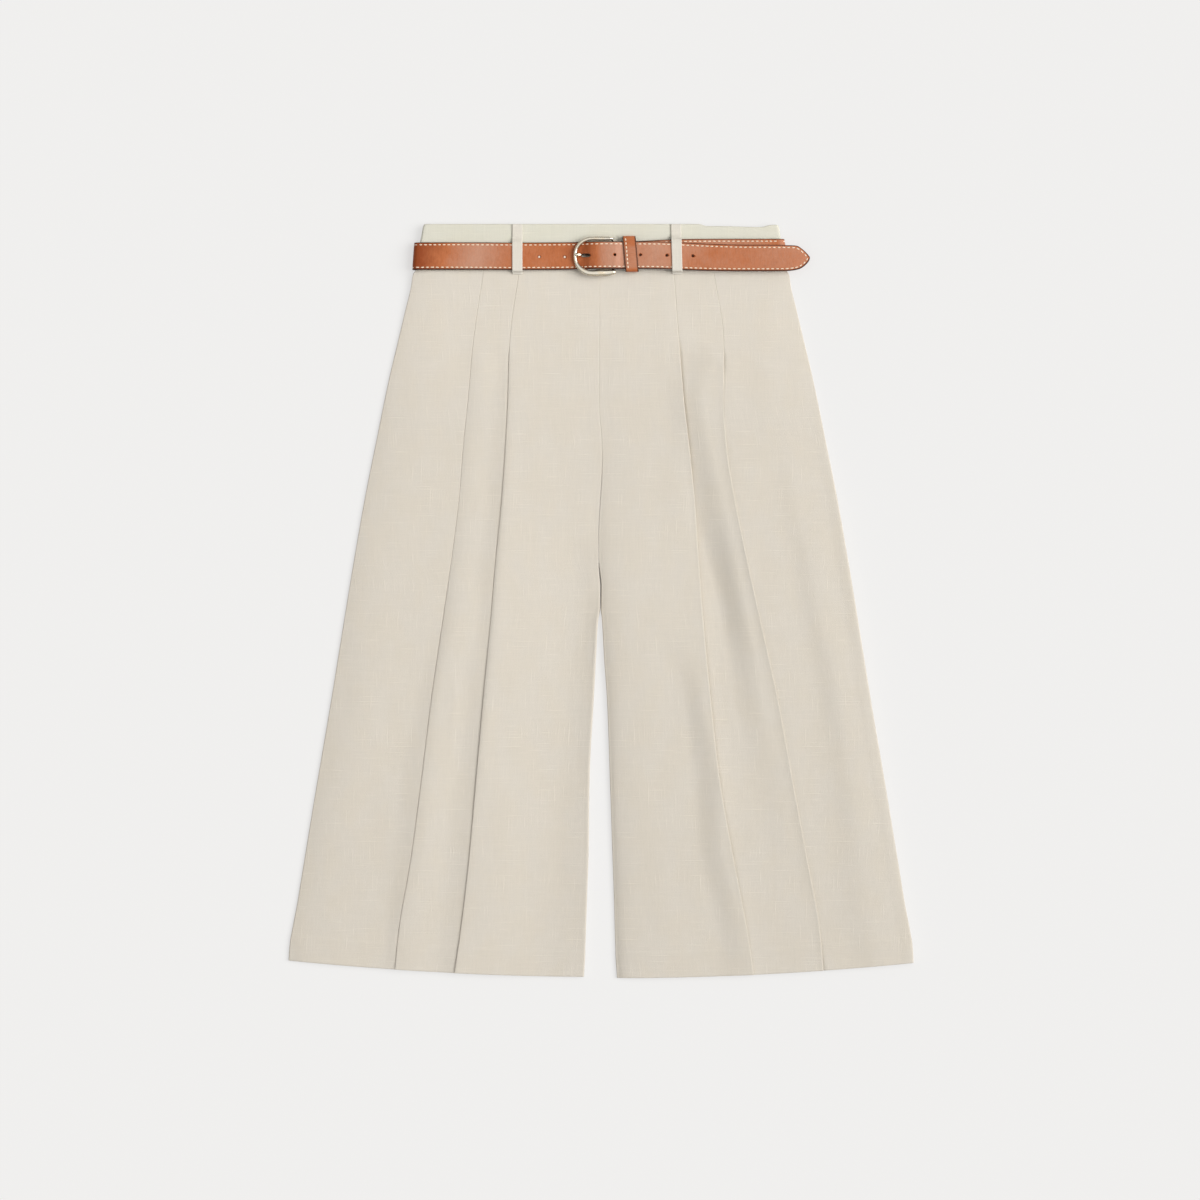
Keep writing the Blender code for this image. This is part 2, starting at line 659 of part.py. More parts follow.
def strap_rings(rows):
    rings = []
    for i, (x, z, centre, thick, half, slant) in enumerate(rows):
        ahead, behind = rows[min(i + 1, len(rows) - 1)], rows[max(i - 1, 0)]
        along = np.array((ahead[0] - x, ahead[1] - z))
        before = np.array((x - behind[0], z - behind[1]))
        unit = lambda v: v / max(np.linalg.norm(v), 1e-9)
        along, before = unit(along), unit(before)
        if i == 0:
            before = along
        if i == len(rows) - 1:
            along = before
        middle = unit(along + before)
        widen = 1 / max(0.5, float(np.dot(middle, along)))
        normal = np.array((-middle[1], middle[0])) * widen
        b = min(EDGE_BEVEL, half / 3)
        t = thick / 2
        ring = []
        for across, up in ((-half, -t + b), (-half, t - b), (-half + b, t), (half - b, t), (half, t - b), (half, -t + b), (half - b, -t), (-half + b, -t)):
            # across runs towards the hem, so it is added to the centre's down
            ring.append((x + normal[0] * up + slant * across, WAIST_Y - centre - across, z + normal[1] * up))
        rings.append(ring)
    return rings


strap = swept("belt_strap", strap_rings(strap_path()), leather)
for n, (x, down) in enumerate(zip(HOLES, HOLE_DOWN)):
    cut(strap, cutter(f"guide_hole_{n + 1}", 4.8, HOLE_RADIUS, (x, WAIST_Y - down, np.interp(x, [r[0] for r in OUTER_RUN], [r[1] for r in OUTER_RUN]))))
cut(strap, cutter("guide_prong_slot", 8.4, 1.4, (PRONG_SLOT[0], WAIST_Y - PRONG_SLOT[1], 13.7), PRONG_SLOT[2]))
cut(strap, cutter("guide_bar_slot", 6.3, 1.5, (13.6, WAIST_Y - PRONG_SLOT[1], 11.95), 7.2))

# Keeper: a band round both runs of the strap, slanting a little.
KEEPER = {"x": 29.9, "half": 6.1, "slant": 0.09, "top": 13.1, "bottom": 47.8, "low": 9.6, "high": 16.6, "thick": 1.0, "corner": 1.6}


def keeper_grid():
    k = KEEPER
    corners = [(k["top"], k["high"], 180, 90), (k["bottom"], k["high"], 90, 0), (k["bottom"], k["low"], 0, -90), (k["top"], k["low"], -90, -180)]
    line = []
    for down, z, start, end in corners:
        middle_down = down + (k["corner"] if down == k["top"] else -k["corner"])
        middle_z = z + (k["corner"] if z == k["low"] else -k["corner"])
        for a in np.linspace(math.radians(start), math.radians(end), 4):
            line.append((middle_down + k["corner"] * math.cos(a), middle_z + k["corner"] * math.sin(a)))
    return line


def keeper_rings():
    k = KEEPER
    centre = np.array(((k["top"] + k["bottom"]) / 2, (k["low"] + k["high"]) / 2))
    line = np.array(keeper_grid())
    rings = []
    for i, p in enumerate(line):
        along = line[(i + 1) % len(line)] - line[i - 1]
        along /= np.linalg.norm(along)
        normal = np.array((along[1], -along[0]))
        if np.dot(normal, p - centre) < 0:
            normal = -normal
        x = k["x"] + k["slant"] * (p[0] - centre[0])
        t, h, b = k["thick"] / 2, k["half"], 0.2
        ring = []
        for across, up in ((-h, -t), (-h, t - b), (-h + b, t), (h - b, t), (h, t - b), (h, -t)):
            q = p + normal * up
            ring.append((x + across, WAIST_Y - q[0], q[1]))
        rings.append(ring)
    return rings


swept("belt_keeper", keeper_rings(), leather, closed=True)

# Buckle: a horseshoe whose two arms end on a straight bar.
FRAME = {"x": -6.7, "down": 32.5, "radius": 18.0, "wire": 1.5}
ARCH = [(-25.0, 13.7), (-18.0, 15.0), (-6.7, 15.1), (5.0, 13.9), (13.4, 11.8)]  # x and z of the frame's middle, seen from the side
ARMS = {"upper": (14.7, 1.05), "lower": (49.2, 2.2)}  # down and half width where each meets the bar


def arch(x):
    return float(smooth([r[0] for r in ARCH], [r[1] for r in ARCH], x))


def frame_path():
    f, path, radii = FRAME, [], []
    top, bottom = ARMS["upper"], ARMS["lower"]
    for down in np.linspace(top[0] + 2.5, bottom[0] - 3.2, 5):
        path.append((BAR[0], down, BAR[1]))
        radii.append((BAR_RADIUS, BAR_RADIUS))
    path.append((BAR[0] - 0.6, bottom[0], BAR[1] + 0.2))
    radii.append((2.0, 1.5))
    for t in (0.25, 0.6):
        x = BAR[0] + t * (f["x"] - BAR[0])
        path.append((x, bottom[0] + t * (f["down"] + f["radius"] - bottom[0]), arch(x)))
        radii.append((bottom[1] - 0.4 * t, f["wire"]))
    for a in np.linspace(90, 270, 15):
        a = math.radians(a)
        heavy = 0.45 * max(0.0, math.sin(a)) ** 1.5
        path.append((f["x"] + f["radius"] * math.cos(a), f["down"] + f["radius"] * math.sin(a), arch(f["x"] + f["radius"] * math.cos(a))))
        radii.append((f["wire"] - 0.15 + heavy, f["wire"] - 0.1))
    for t in (0.6, 0.25):
        x = BAR[0] + t * (f["x"] - BAR[0])
        path.append((x, top[0] + t * (f["down"] - f["radius"] - top[0]), arch(x)))
        radii.append((top[1] + 0.3 * t, f["wire"] - 0.3))
    path.append((BAR[0] - 0.6, top[0], BAR[1] + 0.2))
    radii.append((1.1, 1.2))
    return [(x, WAIST_Y - down, z) for x, down, z in path], radii


path, radii = frame_path()
swept("buckle_frame", rings_along(path, radii, 10, closed=True), metal, closed=True)

# Prong: hooked over the bar, up through the strap, its tip resting on the arc.
PRONG_DOWN = 31.3
PRONG = [
    # x      z    half_wide half_high
    (8.5, 13.7, 0.85, 0.85),
    (2.0, 12.9, 0.85, 0.85),
    (-7.0, 12.6, 0.85, 0.85),
    (-12.5, 13.1, 0.85, 0.85),
    (-18.6, 14.6, 0.95, 0.9),
    (-20.0, 15.1, 1.3, 1.0),
    (-23.0, 16.2, 1.35, 1.0),
    (-24.6, 16.5, 1.1, 0.9),
    (-25.3, 16.6, 0.5, 0.5),
]


def prong_path():
    hook = BAR_RADIUS + GAP + PRONG[0][2]
    path = [(BAR[0] + hook * math.cos(a), BAR[1] + hook * math.sin(a)) for a in np.radians(np.linspace(-35, 100, 7))]
    radii = [PRONG[0][2:]] * len(path) + [row[2:] for row in PRONG]
    path += [row[:2] for row in PRONG]
    return [(x, WAIST_Y - PRONG_DOWN, z) for x, z in path], radii


def prong_rings():
    path, radii = prong_path()
    rings = []
    for i, p in enumerate(path):
        ahead, behind = np.array(path[min(i + 1, len(path) - 1)]), np.array(path[max(i - 1, 0)])
        along = (ahead - behind) / np.linalg.norm(ahead - behind)
        across = np.array((0, 1.0, 0))
        up = np.cross(along, across)
        wide, high = radii[i]
        rings.append([np.array(p) + wide * math.cos(a) * across + high * math.sin(a) * up for a in np.linspace(0, 2 * math.pi, 8, endpoint=False)])
    return rings


swept("buckle_prong", prong_rings(), metal)

# ---------------------------------------------------------------- belt loops
FRONT_BAND_TOP = BAND_FRONT_Z + BAND / 2
OVER = GAP + CLOTH / 2


def loop(name, line, centre_x, lean):
    """A strip of cloth along a line of (down, z). lean: how much it drifts to the right on its way down."""
    grid = []
    for down, z in line:
        x = centre_x + lean * (down - 25.0) / 50.0
        grid.append([(x + LOOP_WIDTH * (t - 0.5), WAIST_Y - down, z) for t in (0.0, 1.0)])
    return cloth(name, grid, CLOTH, linen)


def front_loop_line(over_top, foot, belts):
    """belts: (first down, top z) of each strap run that the loop climbs over, outermost last."""
    line = [(over_top, FRONT_BAND_TOP + OVER), (belts[0][0] - 4.0, FRONT_BAND_TOP + OVER)]
    for first, top in belts:
        line += [(first - 1.15, line[-1][1] + 0.3), (first - 1.0, top - 0.3), (first - 0.4, top + OVER - 0.05), (first + 0.9, top + OVER + 0.05)]
    return line + foot


def foot_line(leg, out, last, end, top):
    """Down the lower edge of the belt and on to the panel."""
    on = float(np.max(front_top(leg, np.linspace(out - 6.5, out + 6.5, 9), np.float64(end)))) + OVER
    return [(last - 1.0, top + OVER + 0.05), (last + 0.5, top + OVER - 0.05), (last + 1.1, top - 0.4), (last + 1.25, on + 0.9), (last + 1.9, on + 0.1), (end, on)]


left_top, right_inner_top, right_top = 10.6 + 1.1, 11.3 + 1.1, 13.95 + 1.1
loop("belt_loop_front_left", front_loop_line(0.2, foot_line("left", 83.6, 46.6, 50.3, left_top), [(18.8, left_top)]), -83.7, 0.0)
loop("belt_loop_front_right", front_loop_line(0.2, foot_line("right", 76.0, 46.6, 50.3, right_top), [(15.6, right_inner_top), (18.9, right_top)]), 75.6, 1.4)

BACK_BELT_LOW = 1.3
for name, x, first, last in (("left", -95.0, 18.1, 45.9), ("centre", 0.0, 17.2, 44.9), ("right", 95.0, 15.9, 43.9)):
    band_low = BAND_BACK_Z - BAND / 2
    foot_z = float(outline("lift", 51.0)) - OVER
    line = [
        (0.8, band_low - OVER),
        (first - 5.0, band_low - OVER),
        (first - 2.4, 1.6),
        (first - OVER, CLOTH / 2),
        (first + 6.0, CLOTH / 2),
        (last + OVER, CLOTH / 2),
        (last + 3.0, 1.3),
        (max(last + 5.2, 50.5), foot_z),
        (54.0, float(outline("lift", 54.0)) - OVER),
    ]
    loop(f"belt_loop_back_{name}", line, x, 0.0)
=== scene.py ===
"""The looks of the high-waisted long shorts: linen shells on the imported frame's form, with their leather belt and buckle.

Two lengths place everything on the garment, as in the CAD: "down" is measured from the waist edge towards the hem, and
"out" from the centre line towards the side, both in millimetres. +X is the viewer's right and +Y points to the waist.
"""

import math

import bmesh
import bpy
import numpy as np
from mathutils import Matrix, Vector


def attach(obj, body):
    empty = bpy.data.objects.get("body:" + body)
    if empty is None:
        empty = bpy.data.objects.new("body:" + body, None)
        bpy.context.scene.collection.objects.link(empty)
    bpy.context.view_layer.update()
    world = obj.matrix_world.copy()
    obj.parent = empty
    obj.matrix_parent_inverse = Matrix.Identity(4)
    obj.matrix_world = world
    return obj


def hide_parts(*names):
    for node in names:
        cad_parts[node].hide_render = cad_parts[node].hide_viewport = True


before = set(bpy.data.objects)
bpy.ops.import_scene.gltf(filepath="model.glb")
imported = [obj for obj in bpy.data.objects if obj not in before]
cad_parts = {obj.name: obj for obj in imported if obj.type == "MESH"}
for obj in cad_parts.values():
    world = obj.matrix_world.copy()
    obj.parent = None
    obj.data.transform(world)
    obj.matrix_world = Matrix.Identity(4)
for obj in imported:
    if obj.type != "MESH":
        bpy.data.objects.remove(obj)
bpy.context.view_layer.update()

MM = 0.001
WAIST_Y = 377.6  # the waist edge's place on Y

# ---------------------------------------------------------------- sizes
THIN = 0.46  # one layer of the leg cloth
HEM_THICK = 0.84  # the turned-up hem, two layers
HEM_DEEP = 25.0
SEAM_DOWN = 45.6
STACK = 0.58  # from one layer of a pleat to the next
FULL_TURN = 84
BAND_BACK_Z, BAND_FRONT_Z, BAND, BAND_WRAP, GAP = 5.0, 7.7, 2.2, 5.0, 0.3
LOOP_WIDTH, LOOP_CLOTH = 10.2, 1.0

# ---------------------------------------------------------------- tables
# The outline of both legs. half: centre line to side. lift: the back's underside over the surface. side: the radius of
# the side folds. mid_l and mid_r: the radius of each leg's inner edge.
OUTLINE = [
    # down   half    lift  side  mid_l mid_r
    (45.6, 185.0, 3.8, 0.90, 0.90, 0.90),
    (50.5, 188.4, 3.6, 0.90, 0.95, 0.95),
    (62.0, 190.2, 2.8, 0.95, 1.00, 1.00),
    (85.0, 195.8, 1.2, 1.05, 1.20, 1.20),
    (121.0, 204.4, 0.1, 1.15, 1.40, 1.40),
    (156.0, 212.7, 0.0, 1.15, 1.40, 1.40),
    (216.0, 225.0, 0.0, 1.15, 1.40, 1.40),
    (276.0, 237.0, 0.0, 1.15, 1.40, 1.40),
    (336.0, 247.5, 0.0, 1.15, 1.45, 1.35),
    (416.0, 260.6, 0.0, 1.15, 1.70, 1.20),
    (476.0, 270.3, 0.0, 1.15, 1.85, 1.15),
    (576.0, 287.3, 0.0, 1.15, 1.85, 1.15),
    (676.0, 303.7, 0.0, 1.10, 1.70, 1.15),
    (731.0, 312.6, 0.0, 1.05, 1.50, 1.10),
    (756.0, 313.4, 0.0, 1.00, 1.40, 1.05),
]
OUTLINE_COLUMNS = ("down", "half", "lift", "side", "mid_l", "mid_r")

# Where the two legs meet. seam: how far the seam wanders to the right of the centre line. gap_l and gap_r: from the
# seam to each leg's inner edge. turn: how far the inner edge has rolled towards the back, in degrees. up: how high the
# two fronts still stand where they are sewn together.
MIDDLE = [
    # down   seam  gap_l  gap_r  turn up
    (45.6, -1.4, 0.04, 0.04, 7, 0.95),
    (121.0, -1.7, 0.04, 0.04, 7, 1.66),
    (176.0, -1.9, 0.04, 0.04, 8, 2.05),
    (231.0, 1.2, 0.05, 0.05, 12, 2.20),
    (246.0, 0.8, 0.05, 0.05, 20, 2.00),
    (276.0, -0.9, 0.06, 0.06, 60, 1.90),
    (307.0, -2.4, 0.06, 0.06, 84, 1.40),
    (336.0, -2.4, 0.07, 0.07, 84, 0.55),
    (364.0, -0.3, 0.08, 0.08, 84, 0.0),
    (384.0, -0.5, 0.14, 0.14, 84, 0.0),
    (396.0, 0.0, 2.7, 1.0, 84, 0.0),
    (436.0, 0.0, 5.0, 3.2, 84, 0.0),
    (476.0, 0.0, 7.2, 6.0, 84, 0.0),
    (556.0, 0.0, 11.4, 8.9, 84, 0.0),
    (636.0, 0.0, 12.5, 11.6, 84, 0.0),
    (676.0, 0.0, 14.0, 13.0, 84, 0.0),
    (731.0, 0.0, 15.9, 14.6, 84, 0.0),
    (756.0, 0.0, 17.3, 16.3, 84, 0.0),
]
MIDDLE_COLUMNS = ("down", "seam", "gap_l", "gap_r", "turn", "up")

# The fold edges of each front's two pleats, and how deep each goes under. Both folds face the side.
PLEATS = {
    "left": [
        # down  inner  outer  deep_in deep_out
        (45.6, 82.0, 117.5, 19.0, 19.0),
        (121.0, 91.7, 128.4, 20.0, 20.0),
        (176.0, 93.4, 133.4, 20.0, 20.0),
        (226.0, 95.9, 138.4, 20.0, 20.0),
        (276.0, 99.4, 142.4, 20.0, 20.0),
        (336.0, 105.4, 149.9, 20.0, 21.0),
        (396.0, 110.4, 158.4, 20.0, 22.0),
        (476.0, 117.9, 169.9, 21.0, 23.0),
        (556.0, 125.0, 179.7, 22.0, 24.0),
        (636.0, 132.2, 190.4, 23.0, 24.0),
        (706.0, 140.4, 202.2, 24.0, 24.0),
        (756.0, 147.6, 207.2, 24.0, 24.0),
    ],
    "right": [
        (45.6, 72.8, 112.5, 19.0, 19.0),
        (121.0, 78.4, 123.0, 19.0, 20.0),
        (176.0, 82.9, 122.6, 18.0, 20.0),
        (226.0, 88.6, 126.0, 17.0, 18.0),
        (276.0, 93.6, 134.0, 16.0, 18.0),
        (336.0, 97.6, 146.2, 16.0, 19.0),
        (396.0, 102.1, 159.4, 16.0, 20.0),
        (476.0, 109.6, 177.0, 16.0, 21.0),
        (556.0, 118.6, 191.6, 16.0, 22.0),
        (636.0, 132.6, 206.4, 20.0, 23.0),
        (706.0, 146.0, 218.8, 23.0, 23.0),
        (756.0, 153.6, 223.2, 24.0, 24.0),
    ],
}
PLEAT_COLUMNS = ("down", "inner", "outer", "deep_in", "deep_out")

# How each front rises from its two edges. high: the rise; side_long and mid_long: how quickly it comes at either edge;
# side_up: how high it already stands at the side fold; mid: how much of it there is at the inner edge; lip: how much
# further the inner edge turns down, or up; bead: how far the side fold stands up.
EDGES = {
    "left": [
        # down   high  side_long side_up mid_long mid  lip  bead
        (45.6, 1.0, 8.0, 0.0, 12.0, 0.0, 0.0, 0.0),
        (121.0, 1.7, 12.0, 0.0, 14.0, 0.0, 0.0, 0.0),
        (176.0, 2.25, 13.0, 0.0, 12.0, 0.06, 0.0, 0.0),
        (226.0, 2.7, 15.0, 0.0, 10.0, 0.12, -0.2, 0.0),
        (276.0, 2.85, 16.0, 0.0, 10.0, 0.20, -0.35, 0.0),
        (336.0, 3.0, 17.0, 0.0, 10.0, 0.25, -0.7, 0.0),
        (364.0, 3.1, 17.0, 0.0, 12.0, 0.25, -0.8, 0.0),
        (396.0, 3.2, 18.0, 0.0, 18.0, 0.25, -1.6, 0.0),
        (476.0, 3.2, 18.0, 0.0, 20.0, 0.27, -1.2, 0.0),
        (636.0, 3.1, 18.0, 0.0, 24.0, 0.30, -0.7, 0.0),
        (756.0, 2.2, 16.0, 0.0, 22.0, 0.30, -0.5, 0.0),
    ],
    "right": [
        (45.6, 1.0, 10.0, 0.0, 12.0, 0.0, 0.0, 0.1),
        (121.0, 1.7, 20.0, 0.0, 12.0, 0.0, 0.0, 0.2),
        (176.0, 2.1, 28.0, 0.2, 10.0, 0.09, 0.0, 0.3),
        (226.0, 2.0, 36.0, 1.5, 8.0, 0.20, 0.0, 0.6),
        (276.0, 1.5, 40.0, 3.1, 8.0, 0.30, 0.0, 1.1),
        (336.0, 1.1, 46.0, 4.7, 8.0, 0.40, 0.0, 1.3),
        (396.0, 0.9, 50.0, 5.2, 10.0, 0.50, 0.4, 1.4),
        (476.0, 0.9, 50.0, 4.4, 12.0, 0.55, 0.8, 1.3),
        (636.0, 0.9, 50.0, 3.2, 13.0, 0.65, 1.2, 1.2),
        (756.0, 0.8, 50.0, 2.4, 12.0, 0.70, 1.2, 1.1),
    ],
}
EDGE_COLUMNS = ("down", "high", "side_long", "side_up", "mid_long", "mid", "lip", "bead")

# Each pleat's fold line. step: how far the folded layer stands over the one beside it. rise and reach: how the lower
# layer swells up to the fold, over what width. roll and wide: how the folded layer rolls up behind its edge. dip: how
# deep the lower layer falls in right at the line. flush: 1 where the two are sewn or pressed edge to edge. curl: how
# far the fold edge itself stands up.
FOLDS = {
    "left": {
        "inner": [
            # down  step  rise reach  roll  wide  dip flush curl
            (45.6, 0.10, 0.0, 12.0, 0.0, 5.0, 0.0, 1.0, 0.0),
            (117.0, 0.10, 0.0, 12.0, 0.0, 5.0, 0.0, 1.0, 0.0),
            (138.0, 0.75, 0.5, 12.0, 0.2, 5.0, 0.2, 0.0, 0.0),
            (176.0, 1.10, 1.3, 18.0, 0.35, 5.0, 0.1, 0.0, 0.0),
            (276.0, 1.20, 1.4, 17.0, 0.45, 5.0, 0.0, 0.0, 0.0),
            (336.0, 1.20, 1.9, 20.0, 0.85, 6.0, 0.0, 0.0, 0.0),
            (396.0, 1.20, 1.3, 15.0, 0.80, 6.0, 0.0, 0.0, 0.0),
            (476.0, 1.30, 2.0, 27.0, 0.75, 6.0, 0.1, 0.0, 0.0),
            (556.0, 1.35, 2.3, 25.0, 0.35, 5.0, 0.1, 0.0, 0.0),
            (636.0, 1.10, 2.3, 30.0, 0.15, 4.0, 0.0, 0.1, 0.0),
            (706.0, 1.20, 1.8, 24.0, 0.15, 4.0, 0.0, 0.1, 0.0),
            (756.0, 1.40, 1.6, 20.0, 0.20, 4.0, 0.1, 0.0, 0.0),
        ],
        "outer": [
            (45.6, 0.10, 0.0, 10.0, 0.0, 10.0, 0.0, 1.0, 0.0),
            (118.0, 0.10, 0.0, 10.0, 0.0, 10.0, 0.0, 1.0, 0.0),
            (134.0, 0.14, 0.0, 10.0, 0.4, 14.0, 0.0, 0.95, 0.0),
            (176.0, 0.13, 0.0, 10.0, 0.95, 18.0, 0.0, 0.95, 0.0),
            (226.0, 0.13, 0.0, 10.0, 0.90, 15.0, 0.0, 0.95, 0.0),
            (276.0, 0.13, 0.0, 10.0, 0.75, 14.0, 0.0, 0.95, 0.0),
            (336.0, 0.18, 0.0, 10.0, 1.3, 17.0, 0.0, 0.9, 0.0),
            (396.0, 0.36, 0.2, 10.0, 1.5, 15.0, 0.0, 0.7, 0.0),
            (476.0, 0.48, 1.2, 16.0, 0.7, 9.0, 0.0, 0.65, 0.0),
            (556.0, 0.52, 1.8, 24.0, 0.5, 9.0, 0.0, 0.6, 0.0),
            (636.0, 0.48, 1.7, 20.0, 0.5, 10.0, 0.0, 0.62, 0.0),
            (706.0, 0.52, 1.3, 16.0, 0.2, 8.0, 0.0, 0.6, 0.0),
            (756.0, 1.10, 0.8, 12.0, 0.1, 8.0, 0.1, 0.1, 0.0),
        ],
    },
    "right": {
        "inner": [
            (45.6, 0.10, 0.0, 12.0, 0.0, 8.0, 0.0, 1.0, 0.0),
            (112.0, 0.12, 0.0, 12.0, 0.0, 8.0, 0.15, 1.0, 0.0),
            (128.0, 1.40, 0.0, 12.0, 0.0, 8.0, 0.9, 0.0, 0.30),
            (176.0, 3.70, 0.0, 12.0, 0.0, 8.0, 0.8, 0.0, 0.45),
            (226.0, 5.15, 0.0, 12.0, 0.0, 8.0, 0.3, 0.0, 0.50),
            (276.0, 5.30, 0.0, 12.0, 0.0, 8.0, 0.1, 0.0, 0.45),
            (336.0, 5.55, 0.0, 12.0, 0.0, 8.0, 0.0, 0.0, 0.35),
            (396.0, 5.25, 0.4, 14.0, 0.0, 8.0, 0.1, 0.0, 0.30),
            (476.0, 5.25, 0.5, 16.0, 0.0, 8.0, 0.2, 0.0, 0.30),
            (556.0, 4.80, 1.0, 24.0, 0.0, 8.0, 0.2, 0.0, 0.30),
            (636.0, 3.80, 0.3, 14.0, 0.0, 8.0, 0.2, 0.0, 0.30),
            (706.0, 2.70, 0.2, 12.0, 0.0, 8.0, 0.1, 0.0, 0.30),
            (756.0, 2.20, 0.3, 12.0, 0.0, 8.0, 0.0, 0.0, 0.25),
        ],
        "outer": [
            (45.6, 0.10, 0.0, 10.0, 0.0, 9.0, 0.0, 1.0, 0.0),
            (122.0, 0.10, 0.0, 10.0, 0.0, 9.0, 0.0, 1.0, 0.0),
            (136.0, 0.85, 0.0, 10.0, 0.0, 9.0, 1.0, 0.0, 0.30),
            (156.0, 0.40, -0.2, 8.0, 0.0, 9.0, 0.2, 0.4, 0.50),
            (176.0, 0.25, -0.2, 8.0, 0.0, 9.0, 0.0, 0.7, 0.50),
            (226.0, 0.38, -0.45, 7.0, 0.0, 9.0, 0.0, 0.3, 1.20),
            (276.0, 0.38, -0.35, 7.0, 0.0, 9.0, 0.0, 0.3, 1.20),
            (336.0, 0.40, 0.10, 10.0, 0.0, 9.0, 0.1, 0.3, 1.60),
            (396.0, 0.40, -0.35, 7.0, 0.0, 9.0, 0.0, 0.3, 1.40),
            (476.0, 0.40, -0.35, 7.0, 0.0, 9.0, 0.0, 0.3, 1.15),
            (556.0, 0.40, -0.35, 8.0, 0.0, 9.0, 0.0, 0.3, 1.15),
            (636.0, 0.45, -0.30, 8.0, 0.0, 9.0, 0.0, 0.3, 1.10),
            (706.0, 0.60, -0.20, 8.0, 0.0, 9.0, 0.1, 0.2, 1.00),
            (756.0, 1.10, 0.0, 10.0, 0.0, 9.0, 1.1, 0.0, 0.50),
        ],
    },
}
FOLD_COLUMNS = ("down", "step", "rise", "reach", "roll", "wide", "dip", "flush", "curl")

# Where each front climbs to its folds. centre: how far it has climbed at the inner fold, and between what distances
# from that fold it climbs. strip_near and strip_far: the same for the strip, from the inner fold towards the side.
CLIMBS = {
    "left": [
        # down  centre centre_far centre_near strip_near strip_far
        (45.6, 0.2, 60.0, 0.0, 4.0, 34.0),
        (121.0, 0.3, 70.0, 0.0, 4.0, 34.0),
        (176.0, 1.6, 78.0, 0.0, 2.0, 38.0),
        (336.0, 2.4, 88.0, 0.0, 2.0, 42.0),
        (556.0, 3.0, 92.0, 0.0, 2.0, 50.0),
        (756.0, 2.4, 96.0, 0.0, 2.0, 56.0),
    ],
    "right": [
        (45.6, 0.2, 60.0, 0.0, 4.0, 38.0),
        (121.0, 0.3, 40.0, 0.0, 2.0, 38.0),
        (176.0, 1.2, 20.0, 0.0, -5.0, 20.0),
        (226.0, 0.6, 22.0, 0.0, -8.0, 23.0),
        (276.0, -0.3, 40.0, 0.0, -5.0, 31.0),
        (336.0, -0.4, 50.0, 0.0, 8.0, 39.0),
        (396.0, -0.2, 60.0, 0.0, 18.0, 46.0),
        (430.0, 1.2, 38.0, 2.0, 20.0, 50.0),
        (476.0, 2.9, 27.0, 5.0, 23.0, 52.0),
        (556.0, 3.9, 27.0, -2.0, 28.0, 62.0),
        (636.0, 3.5, 35.0, 7.0, 31.0, 62.0),
        (706.0, 2.7, 31.0, 3.0, 12.0, 66.0),
        (756.0, 2.6, 39.0, 0.0, 6.0, 66.0),
    ],
}
CLIMB_COLUMNS = ("down", "centre", "centre_far", "centre_near", "strip_near", "strip_far")

# The soft ridges and hollows of each front. near and far: how far each reaches towards the centre line and the side.
RIDGES = {
    "left": {
        "hollow beside the inner edge": [
            # down   out  near   far  high
            (290.0, 30.0, 22.0, 40.0, 0.0),
            (346.0, 28.0, 22.0, 62.0, -1.1),
            (396.0, 30.0, 24.0, 66.0, -1.4),
            (556.0, 42.0, 26.0, 68.0, -1.6),
            (756.0, 52.0, 28.0, 66.0, -1.2),
        ],
        "hip": [
            (60.0, 168.0, 24.0, 16.0, 0.0),
            (120.0, 172.0, 30.0, 16.0, 0.3),
            (320.0, 200.0, 34.0, 20.0, 0.0),
        ],
        "thigh": [
            (380.0, 226.0, 22.0, 18.0, 0.0),
            (476.0, 240.0, 30.0, 20.0, 0.5),
            (640.0, 262.0, 34.0, 22.0, 0.0),
        ],
        "strip": [
            (430.0, 148.0, 10.0, 8.0, 0.0),
            (476.0, 146.0, 12.0, 8.0, 0.5),
            (560.0, 152.0, 12.0, 9.0, 0.0),
        ],
    },
    "right": {
        "side trough": [
            (220.0, 196.0, 16.0, 34.0, 0.0),
            (262.0, 194.0, 16.0, 38.0, 0.9),
            (336.0, 210.0, 17.0, 44.0, 1.4),
            (396.0, 221.0, 17.0, 44.0, 1.6),
            (476.0, 239.0, 20.0, 44.0, 2.1),
            (556.0, 251.0, 22.0, 46.0, 2.1),
            (636.0, 264.0, 24.0, 46.0, 1.8),
            (706.0, 272.0, 26.0, 46.0, 1.8),
            (756.0, 282.0, 26.0, 40.0, 1.2),
        ],
        "rim over the trough": [
            (230.0, 80.0, 12.0, 9.0, 0.0),
            (276.0, 84.0, 14.0, 9.0, 0.25),
            (336.0, 88.0, 16.0, 10.0, 0.25),
            (400.0, 92.0, 16.0, 12.0, 0.0),
        ],
        "hip": [
            (60.0, 160.0, 24.0, 20.0, 0.0),
            (110.0, 168.0, 30.0, 22.0, 0.3),
            (240.0, 180.0, 34.0, 24.0, 0.0),
        ],
    },
}
RIDGE_COLUMNS = ("down", "out", "near", "far", "high")

